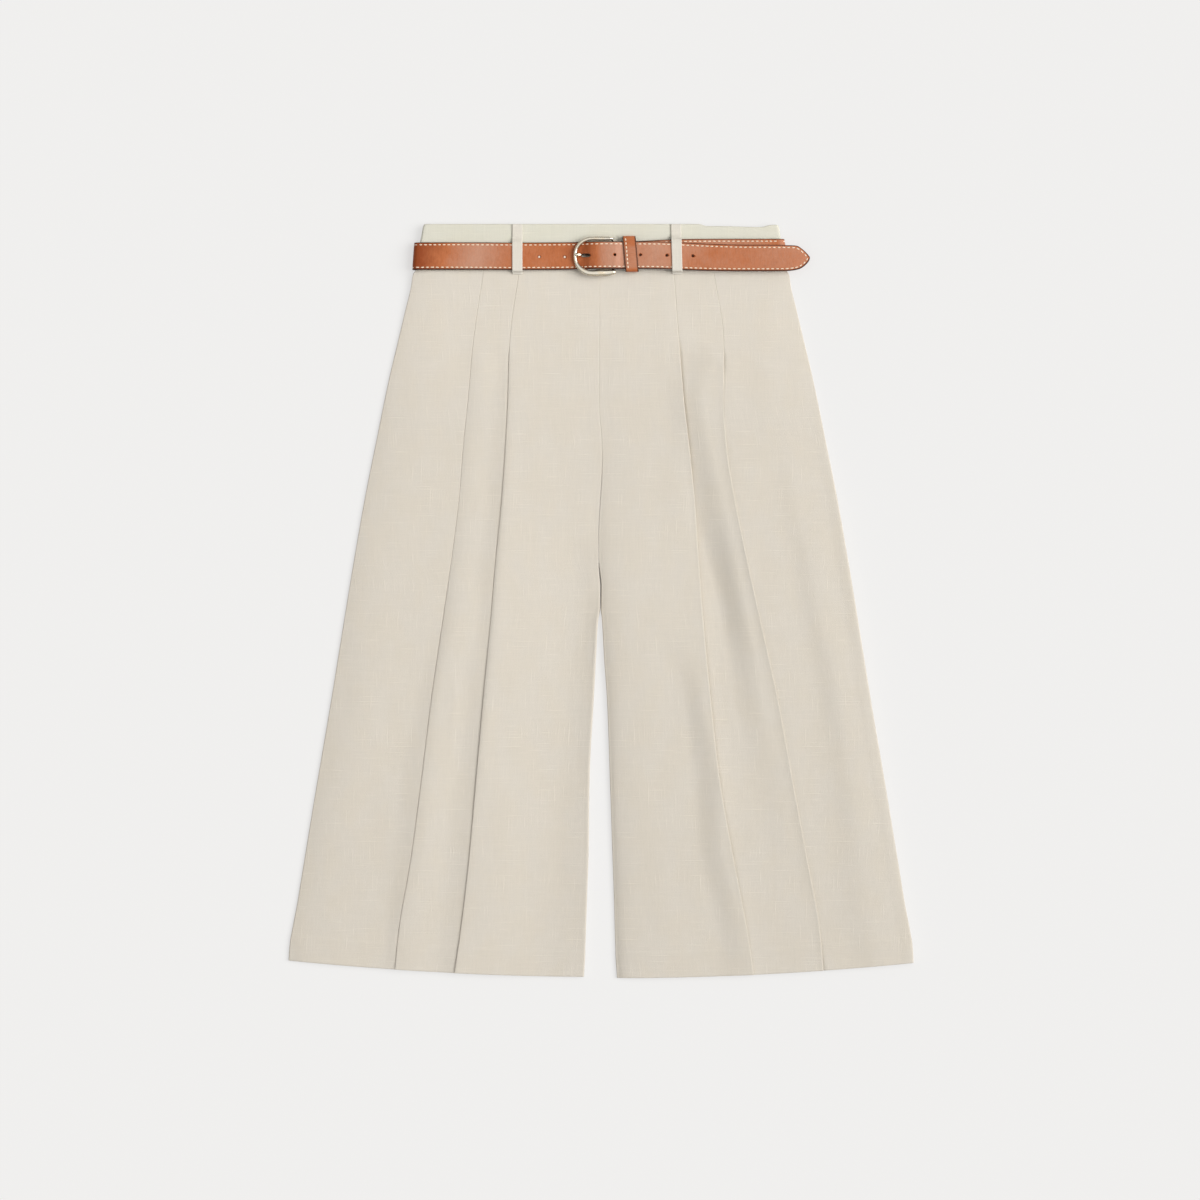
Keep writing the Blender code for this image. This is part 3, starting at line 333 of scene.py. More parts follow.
# Soft creases pressed into each back, seen from below. wide: half width; deep: how far it is pressed in.
BACK_CREASES = {
    "left": [
        # first, last: down; out_first, out_last; wide, deep
        (120.0, 520.0, 92.0, 128.0, 16.0, 0.75),
        (250.0, 744.0, 146.0, 218.0, 20.0, 0.9),
        (180.0, 430.0, 176.0, 214.0, 14.0, 0.55),
        (430.0, 748.0, 64.0, 82.0, 15.0, 0.6),
        (300.0, 620.0, 34.0, 42.0, 12.0, 0.5),
        (560.0, 752.0, 254.0, 276.0, 14.0, 0.5),
    ],
    "right": [
        (110.0, 470.0, 84.0, 124.0, 15.0, 0.7),
        (300.0, 748.0, 160.0, 226.0, 19.0, 0.95),
        (200.0, 520.0, 196.0, 250.0, 15.0, 0.6),
        (480.0, 750.0, 92.0, 118.0, 16.0, 0.55),
        (330.0, 700.0, 38.0, 52.0, 13.0, 0.5),
    ],
}

# The hem of each leg curves down from the side to the inseam.
HEM = {"left": (737.6, 16.1, 1.75), "right": (739.7, 15.3, 1.95)}
HEM_FROM = 396.0

WAIST = [
    # down   half
    (0.0, 177.3),
    (3.0, 178.4),
    (12.0, 180.0),
    (19.0, 181.5),
    (30.0, 182.9),
    (45.3, 184.7),
]
WAIST_COLUMNS = ("down", "half")


# ---------------------------------------------------------------- reading the tables
def smooth(xs, ys, x):
    """The table's value at x on a monotone cubic through its rows."""
    xs, ys = np.asarray(xs, float), np.asarray(ys, float)
    x = np.clip(x, xs[0], xs[-1])
    h = np.diff(xs)
    d = np.diff(ys) / h
    m = np.zeros_like(ys)
    same = d[:-1] * d[1:] > 0
    a, b = np.where(same, d[:-1], 1.0), np.where(same, d[1:], 1.0)
    w1, w2 = 2 * h[1:] + h[:-1], h[1:] + 2 * h[:-1]
    m[1:-1] = np.where(same, (w1 + w2) / (w1 / a + w2 / b), 0.0)
    m[0], m[-1] = d[0], d[-1]
    i = np.clip(np.searchsorted(xs, x, side="right") - 1, 0, len(h) - 1)
    t, k = (x - xs[i]) / h[i], h[i]
    return (
        ys[i] * (1 + 2 * t) * (1 - t) ** 2
        + k * m[i] * t * (1 - t) ** 2
        + ys[i + 1] * t * t * (3 - 2 * t)
        + k * m[i + 1] * t * t * (t - 1)
    )


def read(table, columns, name, down):
    rows = np.array(table, float)
    return smooth(rows[:, 0], rows[:, columns.index(name)], down)


def ease(t):
    t = np.clip(t, 0.0, 1.0)
    return t * t * (3 - 2 * t)


def soft_wander(seed, x, y, across, along):
    """A smooth wander between about -1 and 1, with waves about "across" wide and "along" tall."""
    rng = np.random.default_rng(seed)
    total = np.zeros(np.broadcast(x, y).shape)
    for _ in range(9):
        kx = rng.normal() * 2 * math.pi / (across * 1.6)
        ky = rng.normal() * 2 * math.pi / (along * 1.6)
        total = total + np.sin(kx * x + ky * y + rng.uniform(0, 2 * math.pi))
    return total / 4.2


def side_of(leg):
    return -1.0 if leg == "left" else 1.0


# ---------------------------------------------------------------- the legs' shape
def outline(name, down):
    return read(OUTLINE, OUTLINE_COLUMNS, name, down)


def pleat(leg, name, down):
    return read(PLEATS[leg], PLEAT_COLUMNS, name, down)


def fold(leg, which, name, down):
    return read(FOLDS[leg][which], FOLD_COLUMNS, name, down)


def inner_edge(leg, down):
    seam = read(MIDDLE, MIDDLE_COLUMNS, "seam", down)
    gap = read(MIDDLE, MIDDLE_COLUMNS, "gap_l" if leg == "left" else "gap_r", down)
    return side_of(leg) * seam + gap


def inner_radius(leg, down):
    return outline("mid_l" if leg == "left" else "mid_r", down)


def sewn(down):
    """1 where the two fronts, and the two backs, are sewn to each other; 0 down the legs."""
    return 1 - ease((down - 334.0) / 22.0)


def parted(down):
    """How far each front's edge stands off from the middle seam just above the crotch, where the seam opens a little."""
    return 0.62 * ease((down - 334.0) / 22.0) * ease((394.0 - down) / 10.0)


def inner_roll(leg, down):
    """Where the flat cloth ends at the inner edge, and how it rolls from there: outwards and down, for t from 0 to 1."""
    edge, inner = inner_radius(leg, down), inner_edge(leg, down)
    rolled = np.radians(np.maximum(read(MIDDLE, MIDDLE_COLUMNS, "turn", down), 0.5))
    length = edge * math.radians(FULL_TURN)
    radius = length / rolled
    square = 1 - (0.74 if leg == "left" else 0.30) * ease((rolled - 0.6) / 0.8)
    roll_out = lambda t: radius * np.sin(rolled) * (np.sin(t * rolled) / np.sin(rolled)) ** square
    roll_drop = lambda t: radius * (1 - np.cos(rolled)) * (1 - np.cos(t * rolled) ** square) / (1 - np.cos(rolled) ** square)
    return inner + roll_out(1.0) + THIN / 2 * np.sin(rolled), roll_out, roll_drop


def side_flat(down):
    """Where the flat cloth ends and the side fold begins."""
    return outline("half", down) - THIN / 2 - outline("side", down)


def back_z(down):
    return outline("lift", down) + THIN / 2


def ridge(leg, down, out):
    total = np.zeros(np.broadcast(down, out).shape)
    for rows in RIDGES[leg].values():
        at = {c: read(rows, RIDGE_COLUMNS, c, down) for c in RIDGE_COLUMNS[1:]}
        off = out - at["out"]
        reach = np.where(off < 0, at["near"], at["far"])
        total = total + at["high"] * np.exp(-((off / reach) ** 2) * 1.6) * ease((down - rows[0][0]) / 40.0)
    return total


def carpet(leg, down, out):
    """The middle of a front's cloth without its pleats."""
    side, mid = side_flat(down), inner_roll(leg, down)[0]
    from_side, from_mid = np.maximum(side - out, 0.0), np.maximum(out - mid, 0.0)
    at_side, at_mid = 2 * outline("side", down), 2 * inner_radius(leg, down)
    share = from_mid / (from_mid + from_side + 1e-6)
    edges = at_mid + (at_side - at_mid) * ease(share * 2.2 - 0.6)
    e = {n: read(EDGES[leg], EDGE_COLUMNS, n, down) for n in EDGE_COLUMNS[1:]}
    rise = e["side_up"] + e["high"] * (1 - np.exp(-from_side / e["side_long"]))
    rise = rise * (1 - e["mid"] * np.exp(-from_mid / e["mid_long"])) - e["lip"] * np.exp(-from_mid / 3.6)
    rise = rise + e["bead"] * np.exp(-((from_side / 7.0) ** 2))
    window = ease((from_side + (3.0 if leg == "right" else 0.0)) / 12.0) * ease(from_mid / 12.0)
    wander = 0.15 * soft_wander(7 if leg == "left" else 11, out, down, 44.0, 150.0) * ease((down - 50.0) / 60.0)
    hem = 0.25 * ease((down - 706.0) / 26.0)
    return back_z(down) + edges + rise + (ridge(leg, down, out) + wander + hem) * window


def roll_up(distance, high, wide):
    """A folded layer rises from its fold edge and settles again."""
    d = np.maximum(distance, 0.0) / wide
    return high * d * np.exp(1 - d)


def swell_up(distance, high, reach):
    """The lower layer swells up towards the fold edge over it."""
    d = np.clip(distance / reach, 0.0, 1.0)
    return high * (1 - d) ** 2 * (1 + 0.6 * d)


def curl_up(distance, high, wide=2.4):
    """The fold edge itself stands up a little."""
    return high * np.exp(-np.maximum(distance, 0.0) / wide)


def dip_in(distance, deep):
    return -deep * np.exp(-((np.maximum(distance, 0.0) / 1.7) ** 2))


def centre_z(leg, down, out, rolled=True):
    """The front's uppermost cloth between the inner edge and the inner fold."""
    edge = pleat(leg, "inner", down)
    c = {n: read(CLIMBS[leg], CLIMB_COLUMNS, n, down) for n in CLIMB_COLUMNS[1:]}
    climb = c["centre"] * ease((out - (edge - c["centre_far"])) / (c["centre_far"] - c["centre_near"]))
    roll = roll_up(edge - out, fold(leg, "inner", "roll", down), fold(leg, "inner", "wide", down)) if rolled else 0.0
    return carpet(leg, down, out) + climb + roll + curl_up(edge - out, fold(leg, "inner", "curl", down))


def centre_climb(leg, down):
    """How far the centre has climbed at the inner fold."""
    c = {n: read(CLIMBS[leg], CLIMB_COLUMNS, n, down) for n in CLIMB_COLUMNS[1:]}
    return c["centre"] * ease(c["centre_far"] / (c["centre_far"] - c["centre_near"]))


def strip_z(leg, down, out, rolled=True):
    """The front's uppermost cloth between the inner fold and the outer fold."""
    edge_in, edge_out = pleat(leg, "inner", down), pleat(leg, "outer", down)
    f = {n: fold(leg, "inner", n, down) for n in FOLD_COLUMNS[1:]}
    g = {n: fold(leg, "outer", n, down) for n in FOLD_COLUMNS[1:]}
    near, far = (read(CLIMBS[leg], CLIMB_COLUMNS, n, down) for n in ("strip_near", "strip_far"))
    low = centre_climb(leg, down) - f["step"] - f["rise"]
    high = g["rise"] + g["step"]
    far = np.minimum(far, edge_out - edge_in)
    climb = low + (high - low) * ease((out - edge_in - near) / (far - near))
    swell = swell_up(out - edge_in, f["rise"], f["reach"]) + dip_in(out - edge_in, f["dip"])
    roll = roll_up(edge_out - out, g["roll"], g["wide"]) if rolled else 0.0
    return carpet(leg, down, out) + climb + swell + roll + curl_up(edge_out - out, g["curl"], 5.0)


def side_z(leg, down, out):
    """The front's cloth between the outer fold and the side."""
    edge = pleat(leg, "outer", down)
    g = {n: fold(leg, "outer", n, down) for n in FOLD_COLUMNS[1:]}
    return carpet(leg, down, out) + swell_up(out - edge, g["rise"], g["reach"]) + dip_in(out - edge, g["dip"])


def front_top_z(leg, down, out):
    """The middle of the front's uppermost cloth at this place."""
    edge_in, edge_out = pleat(leg, "inner", down), pleat(leg, "outer", down)
    return np.where(out > edge_out, side_z(leg, down, out), np.where(out > edge_in, strip_z(leg, down, out), centre_z(leg, down, out)))


def hem_row(leg, row, share):
    start, drop, round_it = HEM[leg]
    row = np.minimum(row, start)
    bend = ease((row - HEM_FROM) / (start - HEM_FROM))
    return row + bend * drop * (1 - (1 - np.clip(share, 0, 1)) ** round_it)


def seam_angle(edge):
    return np.arcsin(0.04 / (edge - THIN / 2))


# The stretches of a front from its side seam to its inner edge, with the number of columns on each.
FRONT_STRETCHES = [
    ("side edge", 8),
    ("side flat", 46),
    ("side lip", 10),
    ("side under", 7),
    ("outer turn", 6),
    ("outer middle", 4),
    ("outer fold", 8),
    ("strip flat", 44),
    ("strip lip", 10),
    ("strip under", 7),
    ("inner turn", 6),
    ("inner middle", 4),
    ("inner fold", 8),
    ("centre", 44),
    ("inner edge", 9),
]
# How far from a fold edge the columns of the layer beside it are, where it is open and where it is flush.
LIP = np.array([3.2, 2.3, 1.7, 1.3, 1.0, 0.82, 0.66, 0.52, 0.40, 0.30])
LIP_FLUSH = np.array([3.2, 2.2, 1.5, 1.0, 0.7, 0.48, 0.30, 0.14, 0.0, -0.12])
TUCK = np.array([0.16, -0.1, -0.6, -1.5, -3.0, -6.0, -11.0])
TUCK_FLUSH = np.array([-0.20, -0.34, -0.8, -1.6, -3.0, -6.0, -11.0])


def dense_ends(t, share=0.5):
    return (1 - share) * t + share * 0.5 * (1 - np.cos(math.pi * t))


def front_stretch(leg, name, count, down):
    """(out, z) along one stretch of a front. down has one column for each point."""
    flat = side_flat(down)
    inner_flat, roll_out, roll_drop = inner_roll(leg, down)
    t = np.linspace(0, 1, count)[None, :] * np.ones_like(down)
    inside = np.linspace(0, 1, count + 2)[None, 1:-1] * np.ones_like(down)
    if name == "side edge":
        edge = outline("side", down)
        first = seam_angle(edge)
        angle = first + t * (math.pi / 2 - first)
        top, seam = carpet(leg, down, flat), back_z(down) + edge + 0.04
        square = 0.8 if leg == "left" else 0.55
        level = np.clip((np.sin(angle) - np.sin(first)) / (1 - np.sin(first)), 0, 1) ** square
        return flat + edge * np.cos(angle) ** square, seam + (top - seam) * level
    if name == "inner edge":
        top, seam = centre_z(leg, down, inner_flat), back_z(down) + 2 * inner_radius(leg, down) + read(MIDDLE, MIDDLE_COLUMNS, "up", down)
        meet = centre_z("left", down, inner_roll("left", down)[0]) - 0.12
        open_z = top - roll_drop(t) - (top - seam) * t**3
        return inner_flat - roll_out(t) + parted(down) * t, open_z + (top - (top - meet) * t**3 - open_z) * sewn(down)
    which = "outer" if name.split()[0] in ("side", "outer") else "inner"
    edge = pleat(leg, which, down)
    under = edge - pleat(leg, "deep_out" if which == "outer" else "deep_in", down)
    above = (lambda out: strip_z(leg, down, out, False)) if which == "outer" else (lambda out: centre_z(leg, down, out, False))
    beside = (lambda out: side_z(leg, down, out)) if which == "outer" else (lambda out: strip_z(leg, down, out))
    bend = STACK / 2
    fold_mid, under_mid = edge - bend - THIN / 2, under + bend + THIN / 2
    limit = above(edge - 0.01) - STACK - THIN - 0.05
    flush = fold(leg, which, "flush", down)
    if name.endswith("lip"):
        out = edge + LIP[None, :] + (LIP_FLUSH - LIP)[None, :] * flush
        sunk = np.maximum(beside(edge + 0.3) - limit, 0.0)
        return out, beside(out) - sunk * (1 - ease((out - edge - 0.30 + 0.36 * flush) / (0.55 - 0.20 * flush)))
    if name.endswith("under"):
        tuck = TUCK[None, :] + (TUCK_FLUSH - TUCK)[None, :] * flush
        out = np.maximum(edge + tuck, under_mid + (TUCK[None, :] + 12.0) * 0.2)
        start = np.minimum(beside(edge + 0.3), limit)
        deep = ease((edge + 0.16 - out) / 7.0)
        return out, start + (above(np.minimum(out, edge - 0.01)) - 2 * STACK - start) * deep
    if name.endswith("turn"):
        angle = -math.pi / 2 - t * math.pi
        out = under_mid + bend * np.cos(angle)
        return out, above(out) - 2 * STACK + bend * (1 + np.sin(angle))
    if name.endswith("middle"):
        out = under_mid + inside * (fold_mid - under_mid)
        return out, above(out) - STACK
    if name.endswith("fold"):
        angle = -math.pi / 2 + t * math.pi
        out = fold_mid + bend * np.cos(angle)
        return out, above(np.minimum(out, edge - 0.01)) - STACK + bend * (1 + np.sin(angle))
    if name == "side flat":
        stop = edge + LIP[0] + 0.9
        out = flat + dense_ends(inside) * (stop - flat)
        return out, side_z(leg, down, out)
    outer_mid = pleat(leg, "outer", down) - bend - THIN / 2
    if name == "strip flat":
        stop = edge + LIP[0] + 0.9
        out = outer_mid + dense_ends(inside) * (stop - outer_mid)
        return out, strip_z(leg, down, out)
    out = fold_mid + dense_ends(inside) * (inner_flat - fold_mid)
    return out, centre_z(leg, down, out)


def front_surface(leg, rows):
    """The middle of a front's cloth as rows of points, (rows, columns, 3) in millimetres."""
    start = HEM[leg][0]
    rows = np.minimum(np.asarray(rows, float), start)[:, None]
    blocks = []
    for name, count in FRONT_STRETCHES:
        row = rows * np.ones((1, count))
        down = row
        for _ in range(2):
            out, z = front_stretch(leg, name, count, down)
            half, inner = outline("half", row), inner_edge(leg, row)
            down = hem_row(leg, row, (half - out) / (half - inner))
        out, z = front_stretch(leg, name, count, down)
        blocks.append(np.stack([side_of(leg) * out, WAIST_Y - down, z], axis=-1))
    return lift_hem(np.concatenate(blocks, axis=1))


BACK_STRETCHES = [("side edge", 8), ("middle", 84), ("inner edge", 9)]


def back_crease(leg, down, out):
    total = 0.0 * down * out
    for first, last, out_first, out_last, wide, deep in BACK_CREASES[leg]:
        along = (down - first) / (last - first)
        line = out_first + (out_last - out_first) * along + 3.0 * np.sin(along * 5.0 + first)
        fade = ease(along / 0.22) * ease((1 - along) / 0.2)
        total = total + deep * np.exp(-(((out - line) / wide) ** 2) * 2.2) * fade
    return total


def back_stretch(leg, name, count, down):
    flat = side_flat(down)
    inner_flat, roll_out, roll_drop = inner_roll(leg, down)
    z = back_z(down)
    t = np.linspace(0, 1, count)[None, :] * np.ones_like(down)
    if name == "side edge":
        edge = outline("side", down)
        angle = (math.pi / 2 - seam_angle(edge)) * (1 - t)
        return flat + edge * np.sin(angle), z + edge * (1 - np.cos(angle))
    if name == "middle":
        inside = np.linspace(0, 1, count + 2)[None, 1:-1]
        out = flat + inside * (inner_flat - flat)
        window = ease((flat - out) / 14.0) * ease((out - inner_flat) / 14.0)
        crease = back_crease(leg, down, out) + 0.12 * (1 + soft_wander(23 if leg == "left" else 29, out, down, 50.0, 110.0))
        return out, z + np.clip(crease, 0, 1.1) * window
    return inner_flat - roll_out(t), z + roll_drop(t) * (1 - sewn(down))


def back_surface(leg, rows):
    start = HEM[leg][0]
    rows = np.minimum(np.asarray(rows, float), start)[:, None]
    blocks = []
    for name, count in BACK_STRETCHES:
        row = rows * np.ones((1, count))
        down = row
        for _ in range(2):
            out, z = back_stretch(leg, name, count, down)
            half, inner = outline("half", row), inner_edge(leg, row)
            down = hem_row(leg, row, (half - out) / (half - inner))
        out, z = back_stretch(leg, name, count, down)
        blocks.append(np.stack([side_of(leg) * out, WAIST_Y - down, z], axis=-1))
    return lift_hem(np.concatenate(blocks, axis=1))


# ---------------------------------------------------------------- making meshes
def grid_normals(grid):
    du = np.gradient(grid, axis=1)
    dv = np.gradient(grid, axis=0)
    n = np.cross(du, dv)
    return n / np.maximum(np.linalg.norm(n, axis=2, keepdims=True), 1e-12)


def build(name, verts, faces, uvs=None, material=None, materials=(), face_material=None, smooth_faces=True, attributes=None):
    """A mesh object from arrays in millimetres. uvs: one for each vertex, in metres."""
    mesh = bpy.data.meshes.new(name)
    mesh.from_pydata((np.asarray(verts) * MM).tolist(), [], [list(map(int, f)) for f in faces])
    for m in ([material] if material else []) + list(materials):
        mesh.materials.append(m)
    if uvs is not None:
        layer = mesh.uv_layers.new(name="UVMap")
        index = np.zeros(len(mesh.loops), np.int32)
        mesh.loops.foreach_get("vertex_index", index)
        layer.data.foreach_set("uv", np.asarray(uvs, np.float32)[index].ravel())
    for key, values in (attributes or {}).items():
        mesh.attributes.new(key, "FLOAT", "POINT").data.foreach_set("value", np.asarray(values, np.float32))
    if face_material is not None:
        mesh.polygons.foreach_set("material_index", np.asarray(face_material, np.int32))
    mesh.polygons.foreach_set("use_smooth", [smooth_faces] * len(mesh.polygons))
    mesh.update()
    obj = bpy.data.objects.new(name, mesh)
    bpy.context.scene.collection.objects.link(obj)
    return obj


def outward(name):
    """Turns the faces of a closed mesh outwards."""
    mesh = bpy.data.objects[name].data
    bm = bmesh.new()
    bm.from_mesh(mesh)
    if bm.calc_volume(signed=True) < 0:
        bmesh.ops.reverse_faces(bm, faces=bm.faces[:])
        bm.to_mesh(mesh)
    bm.free()


def wall(name, grid, thick, uv, material, round_by=0.34, attributes=None):
    """A closed wall of cloth on a grid of points: half its thickness on either side, with rounded edges."""
    rows, cols = grid.shape[:2]
    n = grid_normals(grid)
    t = np.broadcast_to(np.asarray(thick, float), (rows, cols))[..., None]
    top, low = grid + n * t / 2, grid - n * t / 2
    verts = [top.reshape(-1, 3), low.reshape(-1, 3)]
    index = np.arange(rows * cols).reshape(rows, cols)
    a, b, c, d = index[:-1, :-1], index[:-1, 1:], index[1:, 1:], index[1:, :-1]
    quads = np.stack([a, b, c, d], -1).reshape(-1, 4)
    faces = [quads, quads[:, ::-1] + rows * cols]
    # round the rim: one more ring pushed out from the edge
    ring = np.concatenate([index[0, :-1], index[:-1, -1], index[-1, :0:-1], index[:0:-1, 0]])
    flat = grid.reshape(-1, 3)
    push = np.zeros_like(grid)
    unit = lambda v: v / np.maximum(np.linalg.norm(v, axis=-1, keepdims=True), 1e-12)
    push[0] += unit(grid[0] - grid[1])
    push[-1] += unit(grid[-1] - grid[-2])
    push[:, 0] += unit(grid[:, 0] - grid[:, 1])
    push[:, -1] += unit(grid[:, -1] - grid[:, -2])
    rim = flat[ring] + unit(push.reshape(-1, 3)[ring]) * t.reshape(-1, 1)[ring] * round_by
    verts.append(rim)
    k = 2 * rows * cols + np.arange(len(ring))
    nxt = np.roll(np.arange(len(ring)), -1)
    faces.append(np.stack([ring, k, k[nxt], ring[nxt]], -1))
    faces.append(np.stack([k, ring + rows * cols, (ring + rows * cols)[nxt], k[nxt]], -1))
    verts = np.concatenate(verts)
    flat_uv = uv.reshape(-1, 2)
    uvs = np.concatenate([flat_uv, flat_uv, flat_uv[ring]])
    extra = {}
    for key, values in (attributes or {}).items():
        v = np.broadcast_to(values, (rows, cols)).reshape(-1)
        extra[key] = np.concatenate([v, v, v[ring]])
    faces = np.concatenate(faces)
    obj = build(name, verts, faces, uvs, material, attributes=extra)
    outward(name)
    return obj


def cloth_uv(grid, origin_column=-1):
    """Lengths along the cloth, in metres: u across each row from one edge, v down the rows' own Y."""
    step = np.linalg.norm(np.diff(grid, axis=1), axis=2)
    u = np.concatenate([np.zeros((grid.shape[0], 1)), np.cumsum(step, axis=1)], axis=1)
    u = u - u[:, origin_column][:, None]
    return np.stack([u * MM, grid[..., 1] * MM], -1)


def hem_thickness(grid):
    """The last rows are two layers thick."""
    up = (grid[..., 1] - grid[-1:, :, 1])
    return THIN + (HEM_THICK - THIN) * ease(1 - (up - HEM_DEEP) / 1.6)


def lift_hem(grid):
    """The cloth lies a little higher along its hem, so that the thicker hem rests on the same surface."""
    up = grid[..., 1] - grid[-1:, :, 1]
    raised = grid.copy()
    raised[..., 2] += (HEM_THICK - THIN) / 2 * ease(1 - (up - HEM_DEEP) / 16.0)
    return raised


def area_of(grid):
    a, b, c, d = grid[:-1, :-1], grid[:-1, 1:], grid[1:, 1:], grid[1:, :-1]
    tri = lambda p, q, r: np.linalg.norm(np.cross(q - p, r - p), axis=-1).sum() / 2
    return (tri(a, b, c) + tri(a, c, d)) * MM * MM


# ---------------------------------------------------------------- materials
class Nodes:
    """Short names for making a material's nodes."""

    def __init__(self, name):
        self.material = bpy.data.materials.new(name)
        self.material.use_nodes = True
        self.tree = self.material.node_tree
        self.tree.nodes.clear()
        self.shader = self.tree.nodes.new("ShaderNodeBsdfPrincipled")
        out = self.tree.nodes.new("ShaderNodeOutputMaterial")
        self.tree.links.new(self.shader.outputs[0], out.inputs[0])

    def put(self, socket, value):
        if isinstance(value, bpy.types.NodeSocket):
            self.tree.links.new(value, socket)
        elif value is not None:
            if hasattr(socket.default_value, "__len__") and not hasattr(value, "__len__"):
                value = [value] * len(socket.default_value)
            if hasattr(value, "__len__") and len(value) == 3 and len(socket.default_value) == 4:
                value = (*value, 1.0)
            socket.default_value = value

    def set(self, **values):
        for key, value in values.items():
            self.put(self.shader.inputs[key.replace("_", " ")], value)

    def uv(self):
        node = self.tree.nodes.new("ShaderNodeUVMap")
        node.uv_map = "UVMap"
        return node.outputs[0]

    def place(self):
        return self.tree.nodes.new("ShaderNodeTexCoord").outputs["Object"]

    def attribute(self, name):
        node = self.tree.nodes.new("ShaderNodeAttribute")
        node.attribute_name = name
        return node.outputs["Fac"]

    def split(self, vector):
        node = self.tree.nodes.new("ShaderNodeSeparateXYZ")
        self.put(node.inputs[0], vector)
        return node.outputs

    def join(self, x=0.0, y=0.0, z=0.0):
        node = self.tree.nodes.new("ShaderNodeCombineXYZ")
        for i, v in enumerate((x, y, z)):
            self.put(node.inputs[i], v)
        return node.outputs[0]

    def math(self, operation, a, b=None, c=None, clamp=False):
        node = self.tree.nodes.new("ShaderNodeMath")
        node.operation = operation
        node.use_clamp = clamp
        for i, v in enumerate((a, b, c)):
            if v is not None:
                self.put(node.inputs[i], v)
        return node.outputs[0]

    def noise(self, vector, scale=1.0, detail=2.0, rough=0.5, distortion=0.0):
        node = self.tree.nodes.new("ShaderNodeTexNoise")
        self.put(node.inputs["Vector"], vector)
        self.put(node.inputs["Scale"], scale)
        self.put(node.inputs["Detail"], detail)
        self.put(node.inputs["Roughness"], rough)
        self.put(node.inputs["Distortion"], distortion)
        return node.outputs["Fac"]

    def voronoi(self, vector, scale, feature="F1", smoothness=None):
        node = self.tree.nodes.new("ShaderNodeTexVoronoi")
        node.feature = feature
        self.put(node.inputs["Vector"], vector)
        self.put(node.inputs["Scale"], scale)
        if smoothness is not None:
            self.put(node.inputs["Smoothness"], smoothness)
        return node.outputs["Distance"]

    def white(self, vector):
        node = self.tree.nodes.new("ShaderNodeTexWhiteNoise")
        self.put(node.inputs["Vector"], vector)
        return node.outputs["Value"]

    def ramp(self, value, low, high, to_low=0.0, to_high=1.0, soft=True):
        node = self.tree.nodes.new("ShaderNodeMapRange")
        node.interpolation_type = "SMOOTHSTEP" if soft else "LINEAR"
        for i, v in enumerate((value, low, high, to_low, to_high)):
            self.put(node.inputs[i], v)
        return node.outputs[0]

    def mix(self, share, a, b, kind="MIX"):
        node = self.tree.nodes.new("ShaderNodeMix")
        node.data_type = "RGBA"
        node.blend_type = kind
        self.put(node.inputs[0], share)
        self.put(node.inputs[6], a)
        self.put(node.inputs[7], b)
        return node.outputs[2]

    def scaled(self, colour, factor):
        """A colour times a number that varies."""
        node = self.tree.nodes.new("ShaderNodeVectorMath")
        node.operation = "SCALE"
        self.put(node.inputs[0], colour)
        self.put(node.inputs["Scale"], factor)
        return node.outputs[0]

    def facing(self):
        """0 where the surface faces the viewer, 1 where it turns away."""
        return self.tree.nodes.new("ShaderNodeLayerWeight").outputs["Facing"]

    def bump(self, height, distance, strength=1.0, normal=None):
        node = self.tree.nodes.new("ShaderNodeBump")
        self.put(node.inputs["Strength"], strength)
        self.put(node.inputs["Distance"], distance)
        self.put(node.inputs["Height"], height)
        if normal is not None:
            self.put(node.inputs["Normal"], normal)
        return node.outputs[0]


